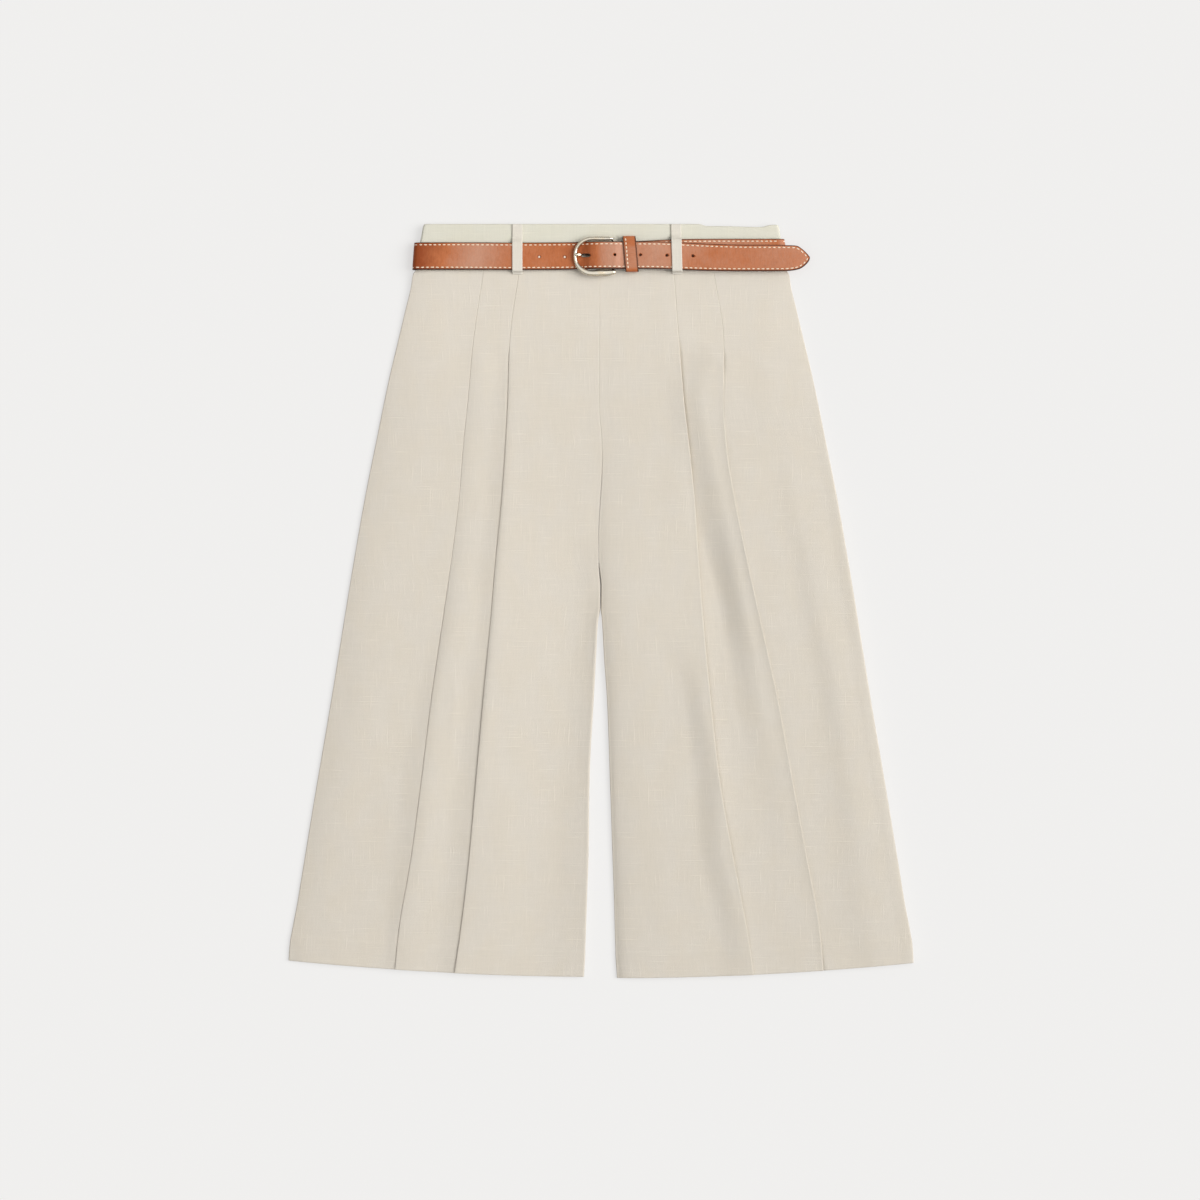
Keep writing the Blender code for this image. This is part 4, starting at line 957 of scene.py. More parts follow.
def linen(name, colour, slub=1.0, pitch=0.00058):
    """Plain-woven linen blend: uneven yarns, slubs both ways, a faint heather, soft sheen, with painted shade between
    the yarns and towards the hem.
    """
    m = Nodes(name)
    u, v, _ = m.split(m.uv())
    # yarns wander a little from straight
    wobble_u = m.math("MULTIPLY", m.math("SUBTRACT", m.noise(m.join(m.math("MULTIPLY", u, 160.0), m.math("MULTIPLY", v, 55.0), 3.0), 1.0, 1.0), 0.5), 1.3)
    wobble_v = m.math("MULTIPLY", m.math("SUBTRACT", m.noise(m.join(m.math("MULTIPLY", u, 55.0), m.math("MULTIPLY", v, 160.0), 9.0), 1.0, 1.0), 0.5), 1.3)
    x = m.math("ADD", m.math("DIVIDE", u, pitch), wobble_u)
    y = m.math("ADD", m.math("DIVIDE", v, pitch), wobble_v)
    i, j = m.math("FLOOR", x), m.math("FLOOR", y)
    over = m.math("MODULO", m.math("ABSOLUTE", m.math("ADD", i, j)), 2.0)
    across = m.math("ABSOLUTE", m.math("SINE", m.math("MULTIPLY", x, math.pi)))
    along = m.math("ABSOLUTE", m.math("SINE", m.math("MULTIPLY", y, math.pi)))
    warp = m.math("MULTIPLY", m.math("POWER", across, 0.8), m.math("POWER", along, 0.3))
    weft = m.math("MULTIPLY", m.math("POWER", along, 0.8), m.math("POWER", across, 0.3))
    # each yarn has its own thickness and tone, which drift along it
    warp_tone = m.noise(m.join(m.math("MULTIPLY", i, 0.73), m.math("MULTIPLY", v, 26.0), 1.0), 1.0, 2.0, 0.6)
    weft_tone = m.noise(m.join(m.math("MULTIPLY", u, 26.0), m.math("MULTIPLY", j, 0.73), 5.0), 1.0, 2.0, 0.6)
    warp_slub = m.ramp(m.noise(m.join(m.math("MULTIPLY", u, 780.0), m.math("MULTIPLY", v, 34.0), 21.0), 1.0, 0.0), 0.70, 0.82)
    weft_slub = m.ramp(m.noise(m.join(m.math("MULTIPLY", u, 30.0), m.math("MULTIPLY", v, 780.0), 33.0), 1.0, 0.0), 0.70, 0.82)
    height = m.math(
        "ADD",
        m.math("MULTIPLY", warp, m.math("SUBTRACT", 1.0, over)),
        m.math("MULTIPLY", weft, over),
    )
    height = m.math("MULTIPLY", height, m.math("ADD", 0.7, m.math("MULTIPLY", m.math("ADD", warp_tone, weft_tone), 0.35)))
    slubs = m.math("ADD", warp_slub, weft_slub)
    height = m.math("ADD", height, m.math("MULTIPLY", slubs, 0.9 * slub))
    tone = m.math("ADD", m.math("MULTIPLY", m.math("SUBTRACT", warp_tone, 0.5), m.math("SUBTRACT", 1.15, over)), m.math("MULTIPLY", m.math("SUBTRACT", weft_tone, 0.5), m.math("ADD", 0.15, over)))
    heather = m.math("SUBTRACT", m.noise(m.join(m.math("MULTIPLY", u, 240.0), m.math("MULTIPLY", v, 70.0), 0.0), 1.0, 3.0, 0.65), 0.5)
    cloud = m.math("SUBTRACT", m.noise(m.join(m.math("MULTIPLY", u, 14.0), m.math("MULTIPLY", v, 9.0), 14.0), 1.0, 2.0, 0.5), 0.5)
    # painted shade: the colour darkens where the weave sinks between its yarns
    gaps = m.math("MULTIPLY", m.math("SUBTRACT", 1.0, m.math("MINIMUM", m.math("MULTIPLY", height, 1.4), 1.0)), -0.13)
    factor = m.math("ADD", 1.02, m.math("MULTIPLY", tone, 0.10))
    factor = m.math("ADD", factor, m.math("MULTIPLY", heather, 0.04))
    factor = m.math("ADD", factor, m.math("MULTIPLY", cloud, 0.03))
    factor = m.math("ADD", factor, m.math("MULTIPLY", slubs, 0.018 * slub))
    # painted shade: the cloth's colour darkens towards the hem, standing in for light that falls off from the waist
    # down
    factor = m.math("MULTIPLY", factor, m.math("ADD", m.ramp(v, -0.38, 0.10, 0.935, 0.98), m.ramp(v, 0.16, 0.31, 0.0, 0.035)))
    factor = m.math("ADD", factor, gaps)
    warm = m.mix(m.ramp(m.noise(m.join(m.math("MULTIPLY", u, 40.0), m.math("MULTIPLY", v, 24.0), 40.0), 1.0, 2.0), 0.35, 0.65), colour, (colour[0] * 1.0, colour[1] * 0.992, colour[2] * 0.975))
    m.set(
        Base_Color=m.scaled(warm, factor),
        Roughness=m.math("ADD", 0.80, m.math("MULTIPLY", m.math("SUBTRACT", heather, 0.0), 0.12)),
        Normal=m.bump(height, 0.00016, 0.55),
        Sheen_Weight=0.18,
        Sheen_Roughness=0.45,
        Sheen_Tint=(1.0, 0.97, 0.92),
        Specular_IOR_Level=0.28,
    )
    return m.material


def leather(name, deep, colour, painted_light, wrinkle=1.0):
    """Smooth saddle leather: fine pores, cloudy dye, faint creases, painted edges and a soft sheen, with painted sheen
    and shade read from an attribute, and painted shade in its pores and creases.
    """
    m = Nodes(name)
    uv = m.uv()
    u, v, _ = m.split(uv)
    pores = m.voronoi(m.join(m.math("MULTIPLY", u, 1500.0), m.math("MULTIPLY", v, 1500.0), 0.0), 1.0, "SMOOTH_F1", 0.6)
    grain = m.noise(m.join(m.math("MULTIPLY", u, 900.0), m.math("MULTIPLY", v, 900.0), 2.0), 1.0, 4.0, 0.62)
    crease = m.math("ABSOLUTE", m.math("SUBTRACT", m.noise(m.join(m.math("MULTIPLY", u, 190.0), m.math("MULTIPLY", v, 60.0), 7.0), 1.0, 3.0, 0.6, 0.6), 0.5))
    crease = m.ramp(crease, 0.0, 0.05, 1.0, 0.0)
    cloud = m.noise(m.join(m.math("MULTIPLY", u, 34.0), m.math("MULTIPLY", v, 46.0), 5.0), 1.0, 3.0, 0.6)
    fine = m.noise(m.join(m.math("MULTIPLY", u, 330.0), m.math("MULTIPLY", v, 330.0), 15.0), 1.0, 3.0, 0.6)
    # painted shade: the colour darkens in the pores and along the creases, where the bump sinks
    tone = m.math("ADD", 1.0, m.math("MULTIPLY", m.math("SUBTRACT", cloud, 0.5), 0.12))
    tone = m.math("ADD", tone, m.math("MULTIPLY", m.math("SUBTRACT", fine, 0.5), 0.14))
    tone = m.math("ADD", tone, m.math("MULTIPLY", m.math("SUBTRACT", pores, 0.4), 0.10))
    tone = m.math("SUBTRACT", tone, m.math("MULTIPLY", crease, 0.06 * wrinkle))
    # painted sheen and painted shade: a value along the strap, with cloudy and streaky noise, shifts the colour from
    # deep brown through saturated tan to a pale pink sheen
    streak = m.math("SUBTRACT", m.noise(m.join(m.math("MULTIPLY", u, 620.0), m.math("MULTIPLY", v, 130.0), 11.0), 1.0, 3.0, 0.65), 0.5)
    shade = m.math("ADD", m.attribute("painted_light"), m.math("ADD", m.math("MULTIPLY", m.math("SUBTRACT", cloud, 0.5), 1.1), m.math("MULTIPLY", streak, 0.9)))
    base = m.mix(m.ramp(shade, 0.0, 1.0, soft=False), deep, colour)
    base = m.mix(m.ramp(shade, 1.0, 2.3, soft=False), base, painted_light)
    base = m.scaled(base, tone)
    base = m.mix(m.attribute("edge"), base, (0.060, 0.020, 0.011))
    height = m.math("ADD", m.math("MULTIPLY", pores, 0.55), m.math("MULTIPLY", grain, 0.5))
    height = m.math("SUBTRACT", height, m.math("MULTIPLY", crease, 0.7 * wrinkle))
    m.set(
        Base_Color=base,
        Roughness=m.math("ADD", 0.42, m.math("MULTIPLY", m.math("SUBTRACT", cloud, 0.5), 0.22)),
        Normal=m.bump(height, 0.00011, 0.5),
        Specular_IOR_Level=0.22,
        Coat_Weight=0.02,
        Coat_Roughness=0.30,
    )
    return m.material


def thread(name, colour):
    m = Nodes(name)
    u, v, _ = m.split(m.uv())
    twist = m.math("SINE", m.math("MULTIPLY", m.math("ADD", u, v), 2 * math.pi))
    tone = m.math("ADD", 1.0, m.math("MULTIPLY", twist, 0.08))
    m.set(Base_Color=m.scaled(m.mix(0.0, colour, colour), tone), Roughness=0.62, Normal=m.bump(twist, 0.00006, 0.6), Sheen_Weight=0.2)
    return m.material


def metal(name, colour, dull=0.11):
    """Polished pale gold plate with hairline wear, and painted dark reflections where it turns away from the viewer."""
    m = Nodes(name)
    p = m.place()
    x, y, z = m.split(p)
    hair = m.noise(m.join(m.math("MULTIPLY", x, 420.0), m.math("MULTIPLY", y, 2600.0), m.math("MULTIPLY", z, 2600.0)), 1.0, 3.0, 0.7)
    cloud = m.noise(p, 160.0, 3.0, 0.6)
    m.set(
        # painted shade: the colour darkens to a fifth where the metal turns away from the viewer, standing in for dark
        # reflections along the wire's sides
        Base_Color=m.mix(m.ramp(m.facing(), 0.42, 0.86), m.mix(m.ramp(cloud, 0.3, 0.7), colour, (colour[0] * 1.03, colour[1] * 0.95, colour[2] * 0.83)), (0.20 * colour[0], 0.15 * colour[1], 0.10 * colour[2])),
        Metallic=1.0,
        Roughness=m.math("ADD", dull, m.math("MULTIPLY", m.math("ADD", hair, cloud), 0.075)),
        Normal=m.bump(hair, 0.00001, 0.35),
    )
    return m.material


LINEN_COLOUR = (0.724, 0.671, 0.588)
BAND_COLOUR = (0.765, 0.746, 0.640)
LOOP_COLOUR = (0.784, 0.741, 0.661)
# the deep brown and the pale pink colours are where the leather's shade and sheen are painted
TAN_DEEP = (0.290, 0.058, 0.011)
TAN = (0.488, 0.150, 0.053)
TAN_PAINTED_SHEEN = (0.535, 0.270, 0.176)
cloth_material = linen("linen", LINEN_COLOUR)
band_material = linen("linen_band", BAND_COLOUR, slub=0.7)
loop_material = linen("linen_loops", LOOP_COLOUR, slub=0.6)
# a paler, warmer copy of the linen for the cloth in the two left holes: a painted highlight where the hole would lie in
# shade
painted_light_plug_material = linen("linen_in_holes_painted_light", (0.97, 0.81, 0.68), slub=0.3)
leather_material = leather("tan_leather", TAN_DEEP, TAN, TAN_PAINTED_SHEEN)
thread_material = thread("cream_thread", (0.93, 0.76, 0.58))
metal_material = metal("pale_gold", (0.90, 0.84, 0.72))
# a near-black copy of the pale gold: painted shade for the bar and the prong's body under the leather
painted_shade_metal_material = metal("pale_gold_painted_shade", (0.040, 0.030, 0.022), 0.45)

# ---------------------------------------------------------------- legs
FRONT_ROW_COUNT = 196
BACK_ROW_COUNT = 150


def leg_rows(leg, count):
    """Rows down a leg: closer together at the top seam, where the pleats open, and at the hem."""
    start = HEM[leg][0]
    t = np.linspace(0, 1, 4000)
    down = SEAM_DOWN + 0.35 + t * (start - 0.35 - SEAM_DOWN - 0.35)
    weight = 1.0 + 2.2 * np.exp(-(((down - 122.0) / 16.0) ** 2)) + 2.5 * np.exp(-(down - SEAM_DOWN) / 5.0) + 3.0 * np.exp(-(start - down) / 3.0)
    weight += 2.0 * np.exp(-(((down - (start - HEM_DEEP)) / 3.0) ** 2)) + 1.2 * np.exp(-(((down - 390.0) / 14.0) ** 2))
    total = np.cumsum(weight)
    total = (total - total[0]) / (total[-1] - total[0])
    return np.interp(np.linspace(0, 1, count), total, down)


sheets = []
for leg in ("left", "right"):
    grid = front_surface(leg, leg_rows(leg, FRONT_ROW_COUNT))
    front = wall(f"shell_front_{leg}", grid, hem_thickness(grid), cloth_uv(grid), cloth_material)
    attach(front, "root")
    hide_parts(f"front_{leg}")
    sheets.append((front, area_of(grid)))
    grid = back_surface(leg, leg_rows(leg, BACK_ROW_COUNT))
    back = wall(f"shell_back_{leg}", grid, hem_thickness(grid), cloth_uv(grid), cloth_material)
    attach(back, "root")
    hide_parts(f"back_{leg}")
    sheets.append((back, area_of(grid)))


# ---------------------------------------------------------------- waistband
def dip(x):
    """The waist edge sags a little towards the right."""
    return 0.2 + 2.3 * ease((x - 98.0) / 8.0) * ease((172.0 - x) / 12.0) + 0.9 * ease((x - 118.0) / 40.0)


def band_surface(z, wraps, thick):
    turn = (BAND_FRONT_Z - BAND_BACK_Z) / 2
    rows = np.concatenate([[0.35, 0.9, 1.6], np.linspace(2.8, 43.4, 20), [44.2, 44.7]])
    lines = []
    for down in rows:
        half = float(read(WAIST, WAIST_COLUMNS, "half", down))
        flat = half - BAND / 2 - turn
        reach = flat if wraps else flat - BAND_WRAP - GAP
        x = np.linspace(-reach, reach, 141)
        h = np.full_like(x, z)
        inside = ease((reach - np.abs(x)) / 16.0)
        if wraps:
            h = h + inside * 0.10 * soft_wander(41, x, down * 1.0, 60.0, 40.0)
            # a short crease near the right end, and a soft swell along the folded top edge
            h = h + 0.5 * np.exp(-(((down - 8.9 - 0.03 * (x - 128.0)) / 0.9) ** 2)) * np.exp(-(((x - 128.0) / 9.0) ** 2))
            h = h + 0.22 * np.exp(-(((down - 6.4 - 0.05 * (x - 150.0)) / 1.6) ** 2)) * np.exp(-(((x - 152.0) / 12.0) ** 2))
            angles = np.linspace(math.pi / 2, -math.pi / 2, 9)[1:]
            rx = np.concatenate([flat + turn * np.cos(angles), np.linspace(flat - 0.6, flat - BAND_WRAP + 0.35, 4)])
            rh = np.concatenate([z - turn + turn * np.sin(angles), np.full(4, BAND_BACK_Z)])
            x = np.concatenate([-rx[::-1], x, rx])
            h = np.concatenate([rh[::-1], h, rh])
        else:
            h = h + inside * 0.08 * soft_wander(43, x, down * 1.0, 60.0, 40.0)
        lines.append(np.stack([x, WAIST_Y - down - dip(x) * (1 - down / SEAM_DOWN), h], -1))
    return np.array(lines)


for name, z, wraps in (("front", BAND_FRONT_Z, True), ("back", BAND_BACK_Z, False)):
    grid = band_surface(z, wraps, BAND)
    uv = cloth_uv(grid, 70)
    thick = 1.9 - 0.5 * ease(1 - (WAIST_Y - grid[..., 1]) / 2.2)
    band = wall(f"shell_waistband_{name}", grid, thick, uv[..., ::-1], band_material, round_by=0.42)
    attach(band, "root")
    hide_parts(f"waistband_{name}")

# ---------------------------------------------------------------- the belt
BAR = (13.4, 11.8)  # x and z of the buckle's bar
BAR_RADIUS = 1.3
WRAP = BAR_RADIUS + GAP + 0.5
RIGHT_TURN, LEFT_TURN = (180.4, 6.5, 4.1), (-182.8, 6.5, 4.1)
RIGHT_SLANT, LEFT_SLANT = 0.14, -0.07
TURNED_BACK = [
    # x      z    centre thick half
    (54.6, 11.0, 31.0, 1.0, 13.8),
    (38.0, 11.0, 31.4, 1.0, 13.8),
    (24.0, 11.0, 31.7, 1.0, 13.8),
    (19.5, 10.7, 31.8, 1.0, 13.8),
    (16.5, 10.0, 31.8, 1.0, 13.8),
]
INNER_RUN = [
    (16.5, 13.6, 31.8, 1.0, 13.8),
    (19.5, 13.0, 31.8, 1.1, 13.8),
    (24.0, 12.5, 31.7, 1.2, 13.8),
    (38.0, 12.4, 31.2, 1.2, 13.8),
    (54.6, 12.4, 30.4, 1.2, 13.8),
    (61.0, 12.0, 30.0, 2.0, 13.8),
    (76.0, 11.2, 29.4, 2.2, 13.8),
    (100.0, 10.6, 29.0, 2.2, 13.8),
    (150.0, 10.6, 28.9, 2.2, 13.8),
]
BACK_RUN = [
    (120.0, 2.4, 29.5, 2.2, 13.8),
    (0.0, 2.4, 31.0, 2.2, 13.8),
    (-120.0, 2.4, 32.2, 2.2, 13.8),
]
OUTER_RUN = [
    (-150.0, 10.6, 32.3, 2.2, 13.7),
    (-80.0, 10.6, 32.6, 2.2, 13.7),
    (-26.5, 10.6, 32.2, 2.2, 13.7),
    (-22.0, 11.0, 32.1, 2.2, 13.7),
    (-18.0, 12.0, 32.0, 2.2, 13.7),
    (-14.0, 13.8, 32.0, 2.2, 13.7),
    (-10.4, 15.3, 31.9, 2.2, 13.7),
    (-5.0, 16.2, 31.9, 2.2, 13.7),
    (4.0, 16.6, 31.8, 2.2, 13.7),
    (13.4, 16.6, 31.8, 2.2, 13.7),
    (16.5, 16.0, 31.8, 2.2, 13.7),
    (19.5, 15.1, 31.8, 2.2, 13.7),
    (22.0, 14.7, 31.8, 2.2, 13.7),
    (25.0, 14.45, 31.8, 2.2, 13.7),
    (54.0, 14.4, 31.9, 2.2, 13.7),
    (76.0, 13.8, 32.6, 2.2, 13.7),
    (90.0, 13.3, 33.2, 2.2, 13.6),
    (110.0, 13.1, 33.9, 2.2, 13.5),
    (140.0, 13.1, 34.5, 2.2, 13.2),
    (175.0, 13.1, 34.6, 2.2, 13.1),
    (185.0, 12.9, 34.6, 2.2, 13.0),
    (191.0, 12.6, 34.4, 2.2, 12.7),
    (196.0, 12.4, 34.2, 2.2, 12.0),
    (201.2, 12.0, 34.7, 2.2, 9.3),
    (205.6, 11.7, 34.9, 2.2, 5.4),
    (207.6, 11.6, 34.8, 2.2, 3.0),
    (208.8, 11.5, 34.3, 2.2, 0.9),
]
HOLES = [
    # x     down
    (-61.8, 33.2),
    (-36.3, 33.4),
    (13.9, 31.4),
    (39.3, 31.6),
    (65.8, 32.0),
    (91.7, 32.3),
]
HOLE_RADIUS = 1.35
PRONG_SLOT = (-15.4, 31.9, 6.0)
STITCH_IN = 2.45  # from the strap's edge to its stitches
STITCH_PITCH = 4.8
STITCH_LONG = 3.1

# Painted sheen and shade along the strap: 0 is deep brown, painted shade where the strap turns away round the left side
# and inside the buckle, 1 saturated tan, 2 paler and pinker, a painted sheen where light gleams off the strap's curves.
PAINTED_SHEEN_AND_SHADE = [
    # x     glow
    (-189.0, -0.1),
    (-183.0, 0.0),
    (-175.0, 0.4),
    (-159.0, 0.85),
    (-150.0, 1.35),
    (-135.0, 1.9),
    (-122.0, 2.15),
    (-110.0, 1.85),
    (-95.0, 1.35),
    (-71.0, 1.0),
    (-39.0, 1.0),
    (-26.0, 0.7),
    (-15.0, 0.45),
    (-6.0, 0.85),
    (1.0, 1.8),
    (9.0, 2.2),
    (17.0, 2.1),
    (41.0, 1.8),
    (55.0, 2.05),
    (66.0, 1.9),
    (89.0, 1.5),
    (137.0, 1.25),
    (177.0, 1.6),
    (209.0, 1.4),
]


def hermite(points, keys, at):
    """A smooth curve through rows of values: keys are their places, at the places asked for."""
    points, keys = np.asarray(points, float), np.asarray(keys, float)
    h = np.diff(keys)[:, None]
    d = np.diff(points, axis=0) / h
    m = np.zeros_like(points)
    m[1:-1] = (d[:-1] * h[1:] + d[1:] * h[:-1]) / (h[1:] + h[:-1])
    m[0], m[-1] = d[0], d[-1]
    i = np.clip(np.searchsorted(keys, at, side="right") - 1, 0, len(h) - 1)
    t = ((at - keys[i]) / h[i, 0])[:, None]
    k = h[i]
    return (
        points[i] * (1 + 2 * t) * (1 - t) ** 2
        + k * m[i] * t * (1 - t) ** 2
        + points[i + 1] * t * t * (3 - 2 * t)
        + k * m[i + 1] * t * t * (t - 1)
    )


def steady(points, keys, at):
    """Like hermite, but no value overshoots its rows."""
    points = np.asarray(points, float)
    return np.stack([smooth(keys, points[:, k], at) for k in range(points.shape[1])], -1)


def strap_rows():
    """(x, z, centre, thick, half, slant) along the strap's middle, from its turned-back end to its tip."""
    rows = [(*r, 0.0) for r in TURNED_BACK]
    for a in np.radians(np.linspace(-90, -270, 7)):
        rows.append((BAR[0] + WRAP * math.cos(a), BAR[1] + WRAP * math.sin(a), 31.8, 1.0, 13.8, 0.0))
    rows += [(*r, 0.0) for r in INNER_RUN]
    x, z, r = RIGHT_TURN
    rows += [(x + r * math.cos(a), z + r * math.sin(a), 28.9, 2.2, 13.8, RIGHT_SLANT) for a in np.radians(np.linspace(90, -90, 9))]
    rows += [(*r, 0.0) for r in BACK_RUN]
    x, z, r = LEFT_TURN
    rows += [(x + r * math.cos(a), z + r * math.sin(a), 32.4, 2.2, 13.7, LEFT_SLANT) for a in np.radians(np.linspace(-90, -270, 9))]
    return np.array(rows + [(*r, 0.0) for r in OUTER_RUN])


STRAP_ROWS = strap_rows()
STRAP_KEYS = np.concatenate([[0], np.cumsum(np.linalg.norm(np.diff(STRAP_ROWS[:, :2], axis=0), axis=1))])
STRAP_LENGTH = STRAP_KEYS[-1]
OUTER_FROM = STRAP_KEYS[-len(OUTER_RUN) - 1]  # where the strap comes round the left side
INNER_FROM, INNER_TO = STRAP_KEYS[len(TURNED_BACK) + 7], STRAP_KEYS[len(TURNED_BACK) + 7 + len(INNER_RUN)]


def strap_frame(s):
    """The strap's middle and its own directions at lengths s: values, unit along (x, z), unit normal (x, z)."""
    s = np.atleast_1d(np.asarray(s, float))
    values = steady(STRAP_ROWS, STRAP_KEYS, s)
    step = 0.25
    ahead = steady(STRAP_ROWS[:, :2], STRAP_KEYS, np.minimum(s + step, STRAP_LENGTH))
    behind = steady(STRAP_ROWS[:, :2], STRAP_KEYS, np.maximum(s - step, 0))
    along = ahead - behind
    along /= np.linalg.norm(along, axis=1, keepdims=True)
    return values, along, np.stack([-along[:, 1], along[:, 0]], -1)


def strap_point(s, across, up):
    """A point of the strap: across runs towards the hem, up towards its finished side."""
    values, _, normal = strap_frame(s)
    x, z, centre, _, _, slant = values.T
    return np.stack([x + normal[:, 0] * up + slant * across, WAIST_Y - centre - across, z + normal[:, 1] * up], -1)


TIP_S = np.linspace(STRAP_LENGTH - 30, STRAP_LENGTH, 90)


def tip_edge():
    values, _, _ = strap_frame(TIP_S)
    upper = np.stack([TIP_S, -values[:, 4]], -1)
    return np.concatenate([upper, np.stack([TIP_S, values[:, 4]], -1)[::-1]])


TIP_EDGE = tip_edge()


def to_edge(s, across, half):
    """From a place on the strap to its nearest edge, round the tip too."""
    plain = half - np.abs(across)
    near = s > STRAP_LENGTH - 26
    result = np.array(plain, float)
    if np.any(near):
        p = np.stack([s[near], across[near]], -1)
        d = np.min(np.linalg.norm(p[:, None, :] - TIP_EDGE[None], axis=2), axis=1)
        result[near] = np.minimum(plain[near], d)
    return result


def strap_sample():
    """Lengths along the strap: one for each ring, closer together where it bends."""
    s = [0.0]
    for i in range(len(STRAP_KEYS) - 1):
        span = STRAP_KEYS[i + 1] - STRAP_KEYS[i]
        a = STRAP_ROWS[i + 1, :2] - STRAP_ROWS[i, :2]
        bend = 1.0 if span < 4 else 2.6
        count = max(1, int(math.ceil(span / bend)))
        s += list(np.linspace(STRAP_KEYS[i], STRAP_KEYS[i + 1], count + 1)[1:])
    return np.array(s)


def build_strap():
    s = strap_sample()
    values, along, normal = strap_frame(s)
    half, thick = values[:, 4], values[:, 3]
    # a ring: across the finished side, round one edge, back across the inner side, round the other
    flat = np.linspace(-1, 1, 27)
    flat = np.sign(flat) * (1 - (1 - np.abs(flat)) ** 1.25)
    corner = np.radians([75, 50, 25, 0, -25, -50, -75])
    rings, uvs, edge, painted_light = [], [], [], []
    for k in range(len(s)):
        t, h = thick[k] / 2, half[k]
        b = min(0.55, t * 0.9, h / 2.5)
        ring = [(f * (h - b), t, 0) for f in flat]
        ring += [(h - b + b * math.cos(a), (t - b) * (1 if a > 0.3 else (-1 if a < -0.3 else 0)) + b * math.sin(a), 1) for a in corner]
        ring += [(f * (h - b), -t, 2) for f in flat[::-1]]
        ring += [(-(h - b) - b * math.cos(a), -((t - b) * (1 if a > 0.3 else (-1 if a < -0.3 else 0)) + b * math.sin(a)), 1) for a in corner]
        ring = np.array(ring)
        across, up, kind = ring.T
        d = to_edge(np.full(len(across), s[k]), across, h)
        crown = 0.16 * ease((d - 0.3) / 5.0) - 0.20 * np.exp(-(((d - STITCH_IN) / 0.75) ** 2)) - 0.10
        up = up + np.where(kind == 0, crown + (0.10 if h < 5 else 0.0) * 0, 0.0) - np.where(kind == 2, crown * 0.5, 0.0)
        p = strap_point(np.full(len(across), s[k]), across, up)
        rings.append(p)
        uvs.append(np.stack([np.full(len(across), s[k] * MM), across * MM], -1))
        # edge paint reaches 0.45 mm onto the face at the upper edge and 0.95 mm at the lower edge; the wider band along
        # the lower edge is painted shade as well as paint
        paint = np.where(across > 0, 0.95, 0.45)
        edge.append(np.where(kind == 1, 1.0, np.clip(1 - (d - paint) / 0.55, 0, 1)))
        # painted sheen and shade for each ring: read along the strap's table, a fixed run where the inner strap shows,
        # and darker within 3 mm of the edges
        x = values[k, 0]
        shine = np.interp(x, [g[0] for g in PAINTED_SHEEN_AND_SHADE], [g[1] for g in PAINTED_SHEEN_AND_SHADE])
        if INNER_FROM < s[k] < INNER_TO:
            shine = 1.7 - 0.7 * float(ease((x - 150.0) / 25.0))
        painted_light.append(np.full(len(across), shine) - 0.35 * (1 - ease(d / 3.0)))
    rings = np.array(rings)
    n, m = rings.shape[:2]
    index = np.arange(n * m).reshape(n, m)
    a, b = index[:-1], index[1:]
    quads = np.stack([a, np.roll(a, -1, 1), np.roll(b, -1, 1), b], -1).reshape(-1, 4)
    faces = [list(q) for q in quads] + [list(index[0][::-1]), list(index[-1])]
    strap = build(
        "belt",
        rings.reshape(-1, 3),
        faces,
        np.concatenate(uvs),
        leather_material,
        attributes={"edge": np.concatenate(edge), "painted_light": np.concatenate(painted_light)},
    )
    outward("belt")
    return strap


def hole_cutters():
    """One mesh of round and long pegs that punch the strap."""
    pegs = []
    outer_x, outer_z = [r[0] for r in OUTER_RUN], [r[1] for r in OUTER_RUN]
    for x, down in HOLES:
        over_bar = abs(x - BAR[0]) < 3.0
        pegs.append((x, down, float(np.interp(x, outer_x, outer_z)) + (0.3 if over_bar else 0.0), 3.2 if over_bar else 4.4, HOLE_RADIUS, 0.0))
    pegs.append((PRONG_SLOT[0], PRONG_SLOT[1], 13.7, 8.4, 1.75, PRONG_SLOT[2]))
    pegs.append((13.6, PRONG_SLOT[1], 11.95, 6.3, 1.5, 7.2))
    verts, faces = [], []
    for x, down, z, length, radius, stretch in pegs:
        base = len(verts)
        angles = np.linspace(0, 2 * math.pi, 28, endpoint=False) + math.pi / 28
        for level in (-length / 2, length / 2):
            for a in angles:
                px = x + radius * math.cos(a) + (stretch / 2) * (1 if math.cos(a) > 0 else -1) * (1 if stretch else 0)
                verts.append((px, WAIST_Y - down + radius * math.sin(a), z + level))
        k = len(angles)
        for i in range(k):
            j = (i + 1) % k
            faces.append([base + i, base + j, base + k + j, base + k + i])
        faces.append([base + i for i in range(k)][::-1])
        faces.append([base + k + i for i in range(k)])
    return build("punch", np.array(verts), faces, smooth_faces=False)


strap = build_strap()
punch = hole_cutters()
outward("punch")
cut = strap.modifiers.new("punched", "BOOLEAN")
cut.operation, cut.solver, cut.object = "DIFFERENCE", "EXACT", punch
bpy.context.view_layer.update()
cut_mesh = bpy.data.meshes.new_from_object(strap.evaluated_get(bpy.context.evaluated_depsgraph_get()))
strap.modifiers.clear()
strap.data = cut_mesh
bpy.data.objects.remove(punch, do_unlink=True)
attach(strap, "root")
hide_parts("belt_strap")


